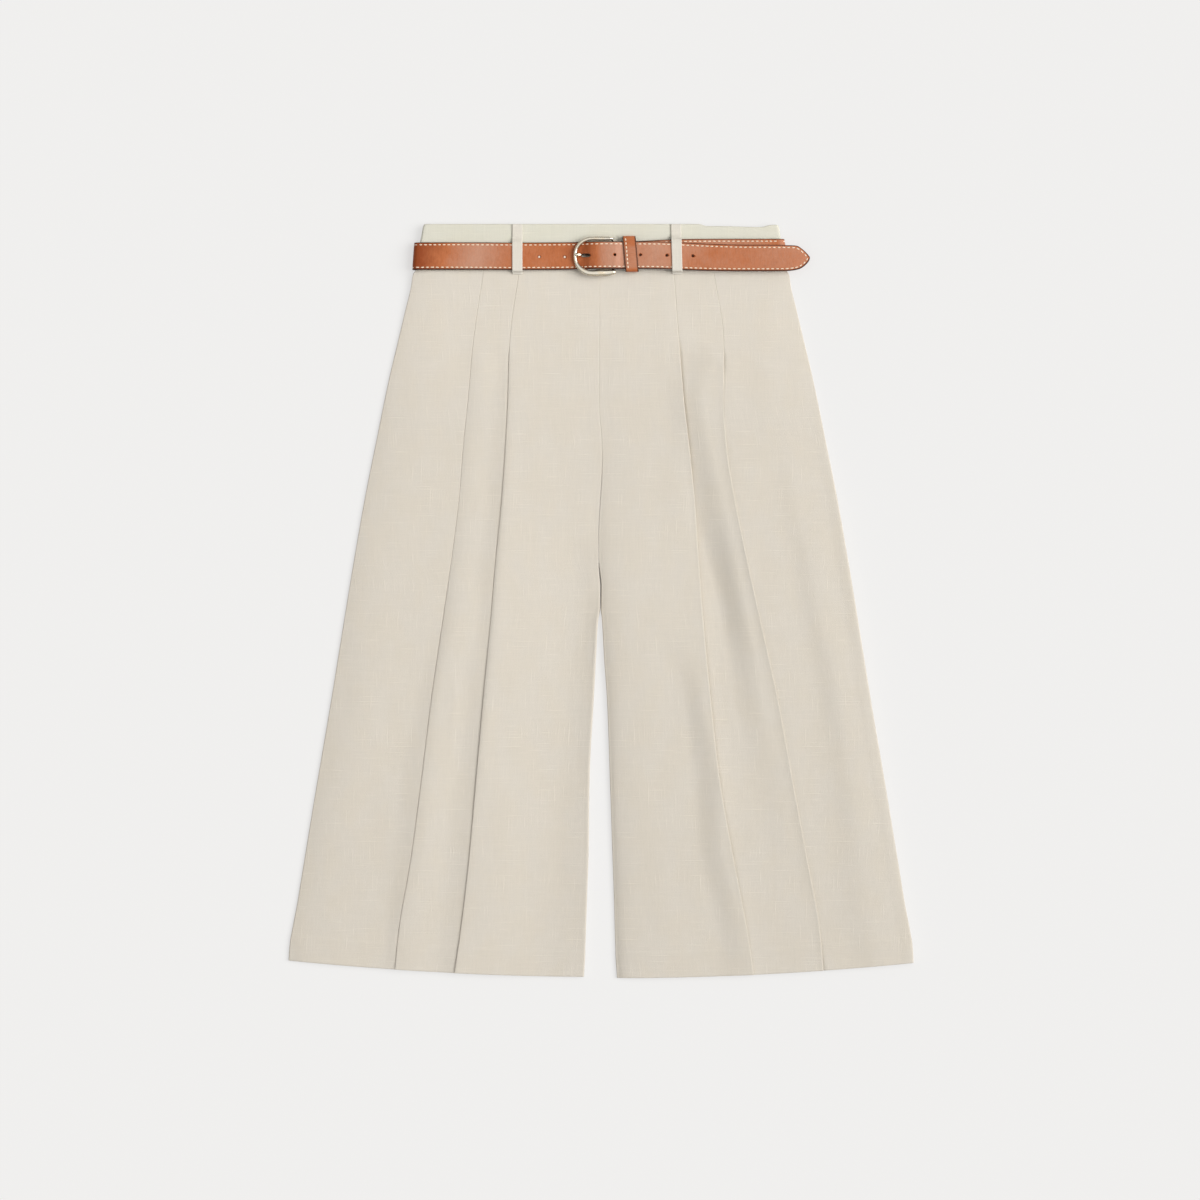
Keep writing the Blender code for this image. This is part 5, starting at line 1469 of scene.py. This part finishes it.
def plug(name, x, down, z, radius, high, material):
    """A small dome of the waistband's cloth, pressed up into a hole."""
    rings = [(1.0, -2.6), (1.0, 0.0), (0.9, 0.45), (0.66, 0.78), (0.34, 0.95)]
    verts, faces, around = [], [], 20
    for r, h in rings:
        for i in range(around):
            a = 2 * math.pi * i / around
            verts.append((x + radius * r * math.cos(a), WAIST_Y - down + radius * r * math.sin(a), z + high * h if h > 0 else z + h))
    verts.append((x, WAIST_Y - down, z + high))
    for k in range(len(rings) - 1):
        for i in range(around):
            j = (i + 1) % around
            faces.append([k * around + i, k * around + j, (k + 1) * around + j, (k + 1) * around + i])
    top = (len(rings) - 1) * around
    faces += [[top + i, top + (i + 1) % around, len(verts) - 1] for i in range(around)]
    faces.append([i for i in range(around)][::-1])
    uvs = [((v[0] + 40.0) * MM, v[1] * MM) for v in verts]
    obj = build(name, np.array(verts), faces, np.array(uvs), material)
    outward(name)
    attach(obj, "root")
    return obj


# the cloth in the holes takes the paler copy of the linen: painted highlight
for number, (x, down) in enumerate(HOLES[:2]):
    plug(f"cloth_in_hole_{number + 1}", x, down, 11.0, HOLE_RADIUS - 0.1, 0.55, painted_light_plug_material)


# Stitches: short capsules lying in the groove, one mesh for each run.
def capsule(centre, along, across, up, length, wide, high, around=7, rings=4):
    points, faces, uvs = [], [], []
    profile = [(-1.0, 0.0), (-0.86, 0.62), (-0.5, 0.94), (0.0, 1.0), (0.5, 0.94), (0.86, 0.62), (1.0, 0.0)]
    for k, (t, r) in enumerate(profile):
        ring = 1 if r == 0 else around
        for i in range(ring):
            a = 2 * math.pi * i / around
            points.append(centre + along * (t * length / 2) + across * (wide * r * math.cos(a)) + up * (high * r * math.sin(a)))
            uvs.append((i / around, t * 2.2))
    first = 1
    for i in range(around):
        faces.append([0, first + (i + 1) % around, first + i])
    for k in range(len(profile) - 3):
        base = 1 + k * around
        for i in range(around):
            j = (i + 1) % around
            faces.append([base + i, base + j, base + around + j, base + around + i])
    last = len(points) - 1
    base = 1 + (len(profile) - 3) * around
    for i in range(around):
        faces.append([base + i, base + (i + 1) % around, last])
    return points, faces, uvs


def join_stitches(name, placed, material):
    verts, faces, uvs = [], [], []
    for piece in placed:
        p, f, t = capsule(*piece)
        base = len(verts)
        verts += p
        uvs += t
        faces += [[base + i for i in q] for q in f]
    obj = build(name, np.array(verts), faces, np.array(uvs), material)
    return obj


def along_line(line, pitch, length, start=0.0):
    """Centres and directions of stitches along a line of (s, across) places on the strap."""
    line = np.asarray(line, float)
    keys = np.concatenate([[0], np.cumsum(np.linalg.norm(np.diff(line, axis=0), axis=1))])
    count = int((keys[-1] - start) / pitch)
    result = []
    for i in range(count):
        at = start + (i + 0.5) * pitch
        a = np.array([np.interp(at - length / 2, keys, line[:, k]) for k in (0, 1)])
        b = np.array([np.interp(at + length / 2, keys, line[:, k]) for k in (0, 1)])
        result.append((a, b))
    return result


def stitches_on_strap(lines, side=1.0):
    rng = np.random.default_rng(3)
    placed = []
    for line in lines:
        for a, b in along_line(line, STITCH_PITCH, STITCH_LONG):
            values, _, normal = strap_frame([(a[0] + b[0]) / 2])
            t = values[0, 3] / 2
            up = side * (t - 0.14) + side * 0.08
            pa = strap_point([a[0]], np.array([a[1]]), up)[0]
            pb = strap_point([b[0]], np.array([b[1]]), up)[0]
            along = pb - pa
            length = np.linalg.norm(along)
            along = along / length
            n = np.array([normal[0, 0], 0.0, normal[0, 1]]) * side
            across = np.cross(n, along)
            across /= np.linalg.norm(across)
            tilt = rng.normal() * 0.05
            along = along * math.cos(tilt) + across * math.sin(tilt)
            across = np.cross(n, along)
            placed.append(((pa + pb) / 2, along, across, n, length * (1 + rng.normal() * 0.05), 0.60, 0.34))
    return placed


def inset_tip_line():
    """The stitch line down one edge, round the tip and back up the other."""
    s = np.concatenate([np.linspace(OUTER_FROM - 15.0, STRAP_LENGTH - 24, 60), np.linspace(STRAP_LENGTH - 23.5, STRAP_LENGTH, 60)])
    values, _, _ = strap_frame(s)
    upper = np.stack([s, -values[:, 4]], -1)
    edge = np.concatenate([upper, np.stack([s, values[:, 4]], -1)[::-1]])
    along = np.gradient(edge, axis=0)
    along /= np.linalg.norm(along, axis=1, keepdims=True)
    inward = np.stack([-along[:, 1], along[:, 0]], -1)
    line = edge + inward * STITCH_IN
    # drop what the offset folds over at the point of the tip
    keep = [0]
    for i in range(1, len(line)):
        h = np.interp(line[i, 0], s, values[:, 4])
        if h - abs(line[i, 1]) > STITCH_IN * 0.75 and line[i, 0] <= STRAP_LENGTH - STITCH_IN * 0.9:
            keep.append(i)
    return line[keep]


outer_line = inset_tip_line()
half_of = lambda s: strap_frame(s)[0][:, 4]
inner_s = np.linspace(INNER_FROM + 8.0, INNER_TO + 2.0, 80)
back_s = np.linspace(INNER_TO + 2.0, OUTER_FROM - 15.0, 160)
inner_lines = [np.stack([inner_s, sign * (half_of(inner_s) - STITCH_IN)], -1) for sign in (-1, 1)]
back_lines = [np.stack([back_s, sign * (half_of(back_s) - STITCH_IN)], -1) for sign in (-1, 1)]
for name, lines in (("belt_stitches_outer", [outer_line]), ("belt_stitches_inner", inner_lines), ("belt_stitches_back", back_lines)):
    stitching = join_stitches(name, stitches_on_strap(lines), thread_material)
    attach(stitching, "root")

# ---------------------------------------------------------------- keeper
KEEPER = {"x": 29.5, "half": 6.6, "slant": 0.09, "top": 13.1, "bottom": 47.8, "low": 9.6, "high": 16.6, "thick": 1.0, "corner": 1.6}


def keeper_line():
    """(down, z) round the keeper's middle, with round corners, and the length along it."""
    k, r = KEEPER, KEEPER["corner"]
    corners = [(k["top"] + r, k["high"] - r, 180, 90), (k["bottom"] - r, k["high"] - r, 90, 0), (k["bottom"] - r, k["low"] + r, 0, -90), (k["top"] + r, k["low"] + r, -90, -180)]
    line = []
    for n, (down, z, start, end) in enumerate(corners):
        arc = [(down + r * math.cos(a), z + r * math.sin(a)) for a in np.radians(np.linspace(start, end, 8))]
        line += arc
        nxt = corners[(n + 1) % 4]
        a, b = np.array(arc[-1]), np.array([nxt[0] + r * math.cos(math.radians(nxt[2])), nxt[1] + r * math.sin(math.radians(nxt[2]))])
        count = max(2, int(np.linalg.norm(b - a) / 1.4))
        line += [tuple(a + (b - a) * i / count) for i in range(1, count)]
    return np.array(line)


def build_keeper():
    k = KEEPER
    line = keeper_line()
    centre = np.array(((k["top"] + k["bottom"]) / 2, (k["low"] + k["high"]) / 2))
    ahead, behind = np.roll(line, -1, 0), np.roll(line, 1, 0)
    along = ahead - behind
    along /= np.linalg.norm(along, axis=1, keepdims=True)
    normal = np.stack([along[:, 1], -along[:, 0]], -1)
    if np.sum(normal * (line - centre)) < 0:
        normal = -normal
    length = np.concatenate([[0], np.cumsum(np.linalg.norm(np.diff(line, axis=0), axis=1))])
    t, h = k["thick"] / 2, k["half"]
    flat = np.linspace(-1, 1, 17)
    corner = np.radians([70, 35, 0, -35, -70])
    b = 0.36
    profile = [(f * (h - b), t, 0) for f in flat]
    profile += [(h - b + b * math.cos(a), (t - b) * np.sign(round(math.sin(a), 3)) + b * math.sin(a), 1) for a in corner]
    profile += [(f * (h - b), -t, 2) for f in flat[::-1]]
    profile += [(-(h - b) - b * math.cos(a), -((t - b) * np.sign(round(math.sin(a), 3)) + b * math.sin(a)), 1) for a in corner]
    profile = np.array(profile)
    across, up, kind = profile.T
    d = h - np.abs(across)
    up = up + np.where(kind == 0, 0.12 * ease((d - 0.2) / 3.0) - 0.06 - 0.16 * np.exp(-(((across + h - 2.9) / 0.6) ** 2)), 0.0)
    rings, uvs = [], []
    for i, p in enumerate(line):
        q = p[None] + normal[i][None] * up[:, None]
        x = k["x"] + k["slant"] * (p[0] - centre[0])
        rings.append(np.stack([x + across, WAIST_Y - q[:, 0], q[:, 1]], -1))
        uvs.append(np.stack([np.full(len(across), length[i] * MM + 2.0), across * MM], -1))
    rings = np.array(rings)
    n, m = rings.shape[:2]
    index = np.arange(n * m).reshape(n, m)
    nxt = np.roll(index, -1, 0)
    quads = np.stack([index, np.roll(index, -1, 1), np.roll(nxt, -1, 1), nxt], -1).reshape(-1, 4)
    edge = np.tile(np.where(kind == 1, 1.0, np.clip(1 - (d - 0.85) / 0.55, 0, 1)), n)
    down = np.repeat(line[:, 0], m)
    # painted sheen and shade on the keeper: a paler band from its middle down and a darker turn over its lowest few
    # millimetres
    painted_light = 0.95 + 0.75 * ease((down - 19.0) / 8.0) - 1.0 * ease((down - 43.0) / 4.0)
    keeper = build("belt_keeper_leather", rings.reshape(-1, 3), quads, np.concatenate(uvs), leather_material, attributes={"edge": edge, "painted_light": painted_light})
    outward("belt_keeper_leather")
    # a row of stitches near its left edge, over the upper side
    placed, rng = [], np.random.default_rng(5)
    for down in np.arange(k["top"] + 3.2, k["bottom"] - 2.0, 3.9):
        x = k["x"] + k["slant"] * (down - centre[0]) - h + 2.9
        along_v = np.array([k["slant"], -1.0, 0.0])
        along_v /= np.linalg.norm(along_v)
        placed.append((np.array([x, WAIST_Y - down, k["high"] + t - 0.10]), along_v, np.cross(np.array([0, 0, 1.0]), along_v), np.array([0, 0, 1.0]), 2.7 * (1 + rng.normal() * 0.05), 0.72, 0.34))
    seams = join_stitches("belt_keeper_stitches", placed, thread_material)
    return keeper, seams


keeper, keeper_seams = build_keeper()
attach(keeper, "root")
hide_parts("belt_keeper")
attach(keeper_seams, "root")

# ---------------------------------------------------------------- buckle
FRAME = {"x": -8.8, "down": 32.4, "radius": 17.3, "wire": 1.95}
ARCH = [(-25.0, 13.7), (-18.0, 15.0), (-6.7, 15.1), (5.0, 13.9), (13.4, 11.8)]
ARMS = {"upper": (15.1, 1.75), "lower": (48.8, 3.35)}


def arch(x):
    return float(smooth([r[0] for r in ARCH], [r[1] for r in ARCH], x))


def frame_line():
    """The horseshoe, from the lower arm's end round to the upper arm's."""
    f, path, radii = FRAME, [], []
    top, bottom = ARMS["upper"], ARMS["lower"]
    path.append((BAR[0] + 0.9, bottom[0] - 0.5, BAR[1] + 1.0))
    radii.append((1.9, 1.2))
    path.append((BAR[0] - 0.1, bottom[0] - 0.4, BAR[1] + 1.2))
    radii.append((2.5, 1.65))
    path.append((BAR[0] - 2.4, bottom[0] - 0.2, BAR[1] + 1.5))
    radii.append((2.75, 1.7))
    for t in (0.3, 0.6):
        x = BAR[0] + t * (f["x"] - BAR[0])
        path.append((x, bottom[0] + t * (f["down"] + f["radius"] - bottom[0]), arch(x)))
        radii.append((bottom[1] - 0.3 * t, f["wire"]))
    for a in np.radians(np.linspace(90, 270, 19)):
        heavy = 0.9 * max(0.0, math.sin(a)) ** 1.5
        path.append((f["x"] + f["radius"] * math.cos(a), f["down"] + f["radius"] * math.sin(a), arch(f["x"] + f["radius"] * math.cos(a))))
        radii.append((f["wire"] - 0.1 + heavy, f["wire"] - 0.05))
    for t in (0.6, 0.3):
        x = BAR[0] + t * (f["x"] - BAR[0])
        path.append((x, top[0] + t * (f["down"] - f["radius"] - top[0]), arch(x)))
        radii.append((top[1] + 0.35 * t, f["wire"] - 0.3))
    path.append((BAR[0] - 3.4, top[0], BAR[1] + 1.7))
    radii.append((1.5, 1.25))
    path.append((BAR[0] - 1.7, top[0], BAR[1] + 1.2))
    radii.append((1.2, 1.0))
    return np.array([(x, WAIST_Y - down, z) for x, down, z in path]), np.array(radii)


def bar_line():
    """The bar between the two arms, which the strap wraps."""
    top, bottom = ARMS["upper"][0], ARMS["lower"][0]
    down = np.array([top + 0.4, top + 1.6, top + 3.4, 24.0, 32.0, 40.0, bottom - 3.4, bottom - 1.8, bottom - 0.6])
    z = BAR[1] + np.array([0.9, 0.1, -0.1, 0.0, 0.0, 0.0, -0.1, 0.1, 0.9])
    x = BAR[0] + np.array([-2.4, -2.2, -1.6, 0.0, 0.0, 0.0, -1.4, -1.7, -1.8])
    radii = np.array([0.7, 0.8, 0.9, 1.2, 1.2, 1.2, 0.9, 0.8, 0.7])
    return np.stack([x, WAIST_Y - down, z], -1), np.stack([radii, radii], -1)


def tube(name, path, radii, sides, closed, material, flat_under=0.0):
    """A smooth tube along a path; radii are (across, up) for each point."""
    if closed:
        path = np.concatenate([path[-3:], path, path[:3]])
        radii = np.concatenate([radii[-3:], radii, radii[:3]])
    keys = np.concatenate([[0], np.cumsum(np.linalg.norm(np.diff(path, axis=0), axis=1))])
    low, high = (keys[3], keys[-3]) if closed else (keys[0], keys[-1])
    count = max(12, int((high - low) / 0.6))
    at = np.linspace(low, high, count + 1)
    if closed:
        at = at[:-1]
    line, size = hermite(path, keys, at), np.maximum(hermite(radii, keys, at), 0.05)
    ahead = hermite(path, keys, np.minimum(at + 0.2, keys[-1]))
    behind = hermite(path, keys, np.maximum(at - 0.2, keys[0]))
    along = ahead - behind
    along /= np.linalg.norm(along, axis=1, keepdims=True)
    across = np.cross(along, (0, 0, 1.0))
    across /= np.linalg.norm(across, axis=1, keepdims=True)
    up = np.cross(across, along)
    a = np.linspace(0, 2 * math.pi, sides, endpoint=False)
    rings = line[:, None] + size[:, :1, None] * across[:, None] * np.cos(a)[None, :, None] + size[:, 1:, None] * up[:, None] * np.sin(a)[None, :, None]
    n = len(rings)
    index = np.arange(n * sides).reshape(n, sides)
    nxt = np.roll(index, -1, 0)
    quads = np.stack([index, np.roll(index, -1, 1), np.roll(nxt, -1, 1), nxt], -1)
    if not closed:
        quads = quads[:-1]
    faces = [list(q) for q in quads.reshape(-1, 4)]
    if not closed:
        faces += [list(index[0][::-1]), list(index[-1])]
    obj = build(name, rings.reshape(-1, 3), faces, None, material)
    outward(name)
    return obj


buckle = tube("buckle_frame_metal", *frame_line(), 28, False, metal_material)
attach(buckle, "root")
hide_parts("buckle_frame")
# the bar is drawn in the near-black copy of the metal: painted shade under the strap
bar = tube("buckle_bar_metal", *bar_line(), 16, False, painted_shade_metal_material)
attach(bar, "root")

PRONG_DOWN = 31.3
PRONG_BRIGHT_TO = -19.8
PRONG = [
    # x      z    half_wide half_high
    (8.5, 13.1, 0.5, 0.5),
    (2.0, 12.5, 0.6, 0.6),
    (-7.0, 12.0, 0.7, 0.7),
    (-13.0, 12.2, 0.6, 0.6),
    (-18.6, 13.6, 0.65, 0.6),
    (-20.6, 15.0, 1.4, 1.05),
    (-23.2, 16.1, 1.6, 1.1),
    (-25.4, 16.4, 1.3, 1.0),
    (-26.4, 16.5, 0.6, 0.6),
]


def prong_line():
    hook = BAR_RADIUS + GAP + PRONG[0][2]
    path = [(BAR[0] + hook * math.cos(a), BAR[1] + hook * math.sin(a)) for a in np.radians(np.linspace(-35, 100, 9))]
    radii = [PRONG[0][2:]] * len(path) + [row[2:] for row in PRONG]
    path += [row[:2] for row in PRONG]
    return np.array(path), np.array(radii)


def build_prong():
    path, radii = prong_line()
    keys = np.concatenate([[0], np.cumsum(np.linalg.norm(np.diff(path, axis=0), axis=1))])
    at = np.linspace(0, keys[-1], 90)
    line, size = hermite(path, keys, at), np.maximum(hermite(radii, keys, at), 0.25)
    ahead, behind = hermite(path, keys, np.minimum(at + 0.2, keys[-1])), hermite(path, keys, np.maximum(at - 0.2, 0))
    along = ahead - behind
    along /= np.linalg.norm(along, axis=1, keepdims=True)
    up = np.stack([-along[:, 1], along[:, 0]], -1)
    a = np.linspace(0, 2 * math.pi, 18, endpoint=False)
    rings = []
    for k in range(len(at)):
        q = line[k][None] + up[k][None] * (size[k, 1] * np.sin(a))[:, None]
        rings.append(np.stack([q[:, 0], WAIST_Y - PRONG_DOWN + size[k, 0] * np.cos(a), q[:, 1]], -1))
    rings = np.array(rings)
    n, sides = rings.shape[:2]
    index = np.arange(n * sides).reshape(n, sides)
    quads = np.stack([index[:-1], np.roll(index[:-1], -1, 1), np.roll(index[1:], -1, 1), index[1:]], -1).reshape(-1, 4)
    # bright where it shows; painted shade, a near-black copy of the metal, where it passes under the leather
    bright = [0 if rings[min(k // sides, n - 2)][0][0] < PRONG_BRIGHT_TO else 1 for k in range(len(quads))]
    obj = build("buckle_prong_metal", rings.reshape(-1, 3), [list(q) for q in quads] + [list(index[0][::-1]), list(index[-1])], None, materials=(metal_material, painted_shade_metal_material), face_material=bright + [1, 0])
    outward("buckle_prong_metal")
    return obj


prong = build_prong()
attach(prong, "root")
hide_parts("buckle_prong")

# ---------------------------------------------------------------- belt loops
FRONT_BAND_TOP = BAND_FRONT_Z + BAND / 2
OVER = GAP + LOOP_CLOTH / 2


def rounded(line, passes=3, cut=0.25):
    """Cuts the corners of a line until it is smooth, keeping its ends."""
    line = np.asarray(line, float)
    for _ in range(passes):
        a, b = line[:-1], line[1:]
        new = np.empty((2 * len(a), line.shape[1]))
        new[0::2] = a + (b - a) * cut
        new[1::2] = b - (b - a) * cut
        new[0], new[-1] = line[0], line[-1]
        line = new
    return line


def front_loop_line(over_top, foot, belts):
    line = [(over_top, FRONT_BAND_TOP + OVER), (belts[0][0] - 8.0, FRONT_BAND_TOP + OVER)]
    for first, top in belts:
        low = line[-1][1]
        ramp = 4.6 if low < top - 1.5 else 2.6
        line += [(first - ramp, low), (first - ramp * 0.45, low + 0.55 * (top + OVER - low)), (first - 0.4, top + OVER), (first + 1.2, top + OVER + 0.05)]
    return line + foot


def foot_line(leg, out, last, end, top):
    on = float(np.max(front_top_z(leg, np.float64(end), np.linspace(out - 6.5, out + 6.5, 9)))) + THIN / 2 + 0.15 + LOOP_CLOTH / 2
    return [(last - 1.0, top + OVER + 0.05), (last + 0.5, top + OVER - 0.05), (last + 1.1, top - 0.4), (last + 1.25, on + 0.9), (last + 1.9, on + 0.1), (end, on)]


def build_loop(name, line, centre_x, lean, top_inset=0.4):
    """A folded strip of cloth: its sides are folds, a little thicker than its middle."""
    line = rounded(line)
    keys = np.concatenate([[0], np.cumsum(np.linalg.norm(np.diff(line, axis=0), axis=1))])
    count = int(keys[-1] / 0.7)
    at = np.linspace(0.3, keys[-1] - 0.3, count)
    down, z = np.interp(at, keys, line[:, 0]), np.interp(at, keys, line[:, 1])
    across = np.linspace(-1, 1, 17)
    across = np.sign(across) * (1 - (1 - np.abs(across)) ** 1.3)
    half = LOOP_WIDTH / 2 - 0.3
    x = centre_x + lean * (down - 25.0) / 50.0
    grid = np.stack(
        [
            x[:, None] + across[None] * half,
            np.broadcast_to((WAIST_Y - down)[:, None], (count, 17)),
            np.broadcast_to(z[:, None], (count, 17)),
        ],
        -1,
    )
    # the middle sinks slightly between the two folded sides
    thick = 0.86 + 0.10 * np.exp(-(((np.abs(across) - 0.82) / 0.12) ** 2))[None] + 0 * z[:, None]
    uv = np.stack([np.broadcast_to(across[None] * half * MM, thick.shape) + 0.3, np.broadcast_to(at[:, None] * MM, thick.shape)], -1)
    obj = wall(name, grid, thick, uv, loop_material, round_by=0.42)
    return obj


left_top, right_inner_top, right_top = 10.6 + 1.1, 11.3 + 1.1, 13.95 + 1.1
loop_lines = {
    "front_left": (front_loop_line(0.2, foot_line("left", 83.6, 46.6, 50.3, left_top), [(18.8, left_top)]), -83.7, 0.0),
    "front_right": (front_loop_line(0.2, foot_line("right", 76.0, 46.6, 50.3, right_top), [(15.6, right_inner_top), (18.9, right_top)]), 75.6, 1.4),
}
for name, x, first, last in (("back_left", -95.0, 18.1, 45.9), ("back_centre", 0.0, 17.2, 44.9), ("back_right", 95.0, 15.9, 43.9)):
    band_low = BAND_BACK_Z - BAND / 2
    foot_z = float(outline("lift", 51.0)) - OVER
    line = [
        (0.8, band_low - OVER),
        (first - 5.0, band_low - OVER),
        (first - 2.4, 1.6),
        (first - OVER, LOOP_CLOTH / 2),
        (first + 6.0, LOOP_CLOTH / 2),
        (last + OVER, LOOP_CLOTH / 2),
        (last + 3.0, 1.3),
        (max(last + 5.2, 50.5), foot_z),
        (54.0, float(outline("lift", 54.0)) - OVER),
    ]
    loop_lines[name] = (line, x, 0.0)
for name, (line, x, lean) in loop_lines.items():
    loop = build_loop(f"shell_loop_{name}", line, x, lean)
    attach(loop, "root")
    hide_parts(f"belt_loop_{name}")


# ---------------------------------------------------------------- floor, light and camera
def build_floor():
    floor = build("floor", np.array([(-6000, -6000, -0.25), (6000, -6000, -0.25), (6000, 6000, -0.25), (-6000, 6000, -0.25)]), [[0, 1, 2, 3]], None, None, smooth_faces=False)
    m = Nodes("pale_floor")
    m.set(Base_Color=(0.27, 0.27, 0.268), Roughness=0.9, Specular_IOR_Level=0.05, Emission_Color=(1.0, 0.9906, 0.983), Emission_Strength=0.5845)
    floor.data.materials.append(m.material)
    return floor


build_floor()

scene = bpy.context.scene
scene.view_settings.view_transform = "Standard"
scene.view_settings.look = "None"

world = bpy.data.worlds.new("studio")
world.use_nodes = True
scene.world = world
tree = world.node_tree
tree.nodes.clear()
coord = tree.nodes.new("ShaderNodeTexCoord")
split = tree.nodes.new("ShaderNodeSeparateXYZ")
tree.links.new(coord.outputs["Generated"], split.inputs[0])
levels = []
for rows in (((1, 0.10), (2, 0.75), (3, 0.12), (4, 0.46)), ((1, 0.72), (2, 0.96), (3, 0.0), (4, 0.42))):
    level = tree.nodes.new("ShaderNodeMapRange")
    level.interpolation_type = "SMOOTHSTEP"
    tree.links.new(split.outputs[2], level.inputs[0])
    for i, v in rows:
        level.inputs[i].default_value = v
    levels.append(level)
both = tree.nodes.new("ShaderNodeMath")
both.operation = "ADD"
for i in (0, 1):
    tree.links.new(levels[i].outputs[0], both.inputs[i])
background = tree.nodes.new("ShaderNodeBackground")
tree.links.new(both.outputs[0], background.inputs["Strength"])
background.inputs["Color"].default_value = (1.0, 0.995, 0.985, 1.0)
world_out = tree.nodes.new("ShaderNodeOutputWorld")
tree.links.new(background.outputs[0], world_out.inputs[0])

SUN_FROM = Vector((1.08, 0.10, 0.95))
sun_data = bpy.data.lights.new("key", "SUN")
sun_data.energy = 2.62
sun_data.angle = math.radians(44)
sun_data.color = (1.0, 0.99, 0.975)
sun = bpy.data.objects.new("key", sun_data)
scene.collection.objects.link(sun)
sun.rotation_mode = "QUATERNION"
sun.rotation_quaternion = SUN_FROM.to_track_quat("Z", "Y")

CAMERA_LENS, FRAME_WIDTH = 135.0, 1.2
camera_data = bpy.data.cameras.new("camera")
camera_data.lens, camera_data.sensor_width = CAMERA_LENS, 36.0
camera_data.clip_start, camera_data.clip_end = 0.1, 60.0
camera = bpy.data.objects.new("camera", camera_data)
scene.collection.objects.link(camera)
camera.location = (-0.0010, 0.0013, 0.011 + FRAME_WIDTH * CAMERA_LENS / 36.0)
camera.rotation_euler = (0.0, 0.0, 0.0)
scene.camera = camera

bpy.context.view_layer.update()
for piece, area in sheets:
    print("AREA", piece.name, round(area, 4))
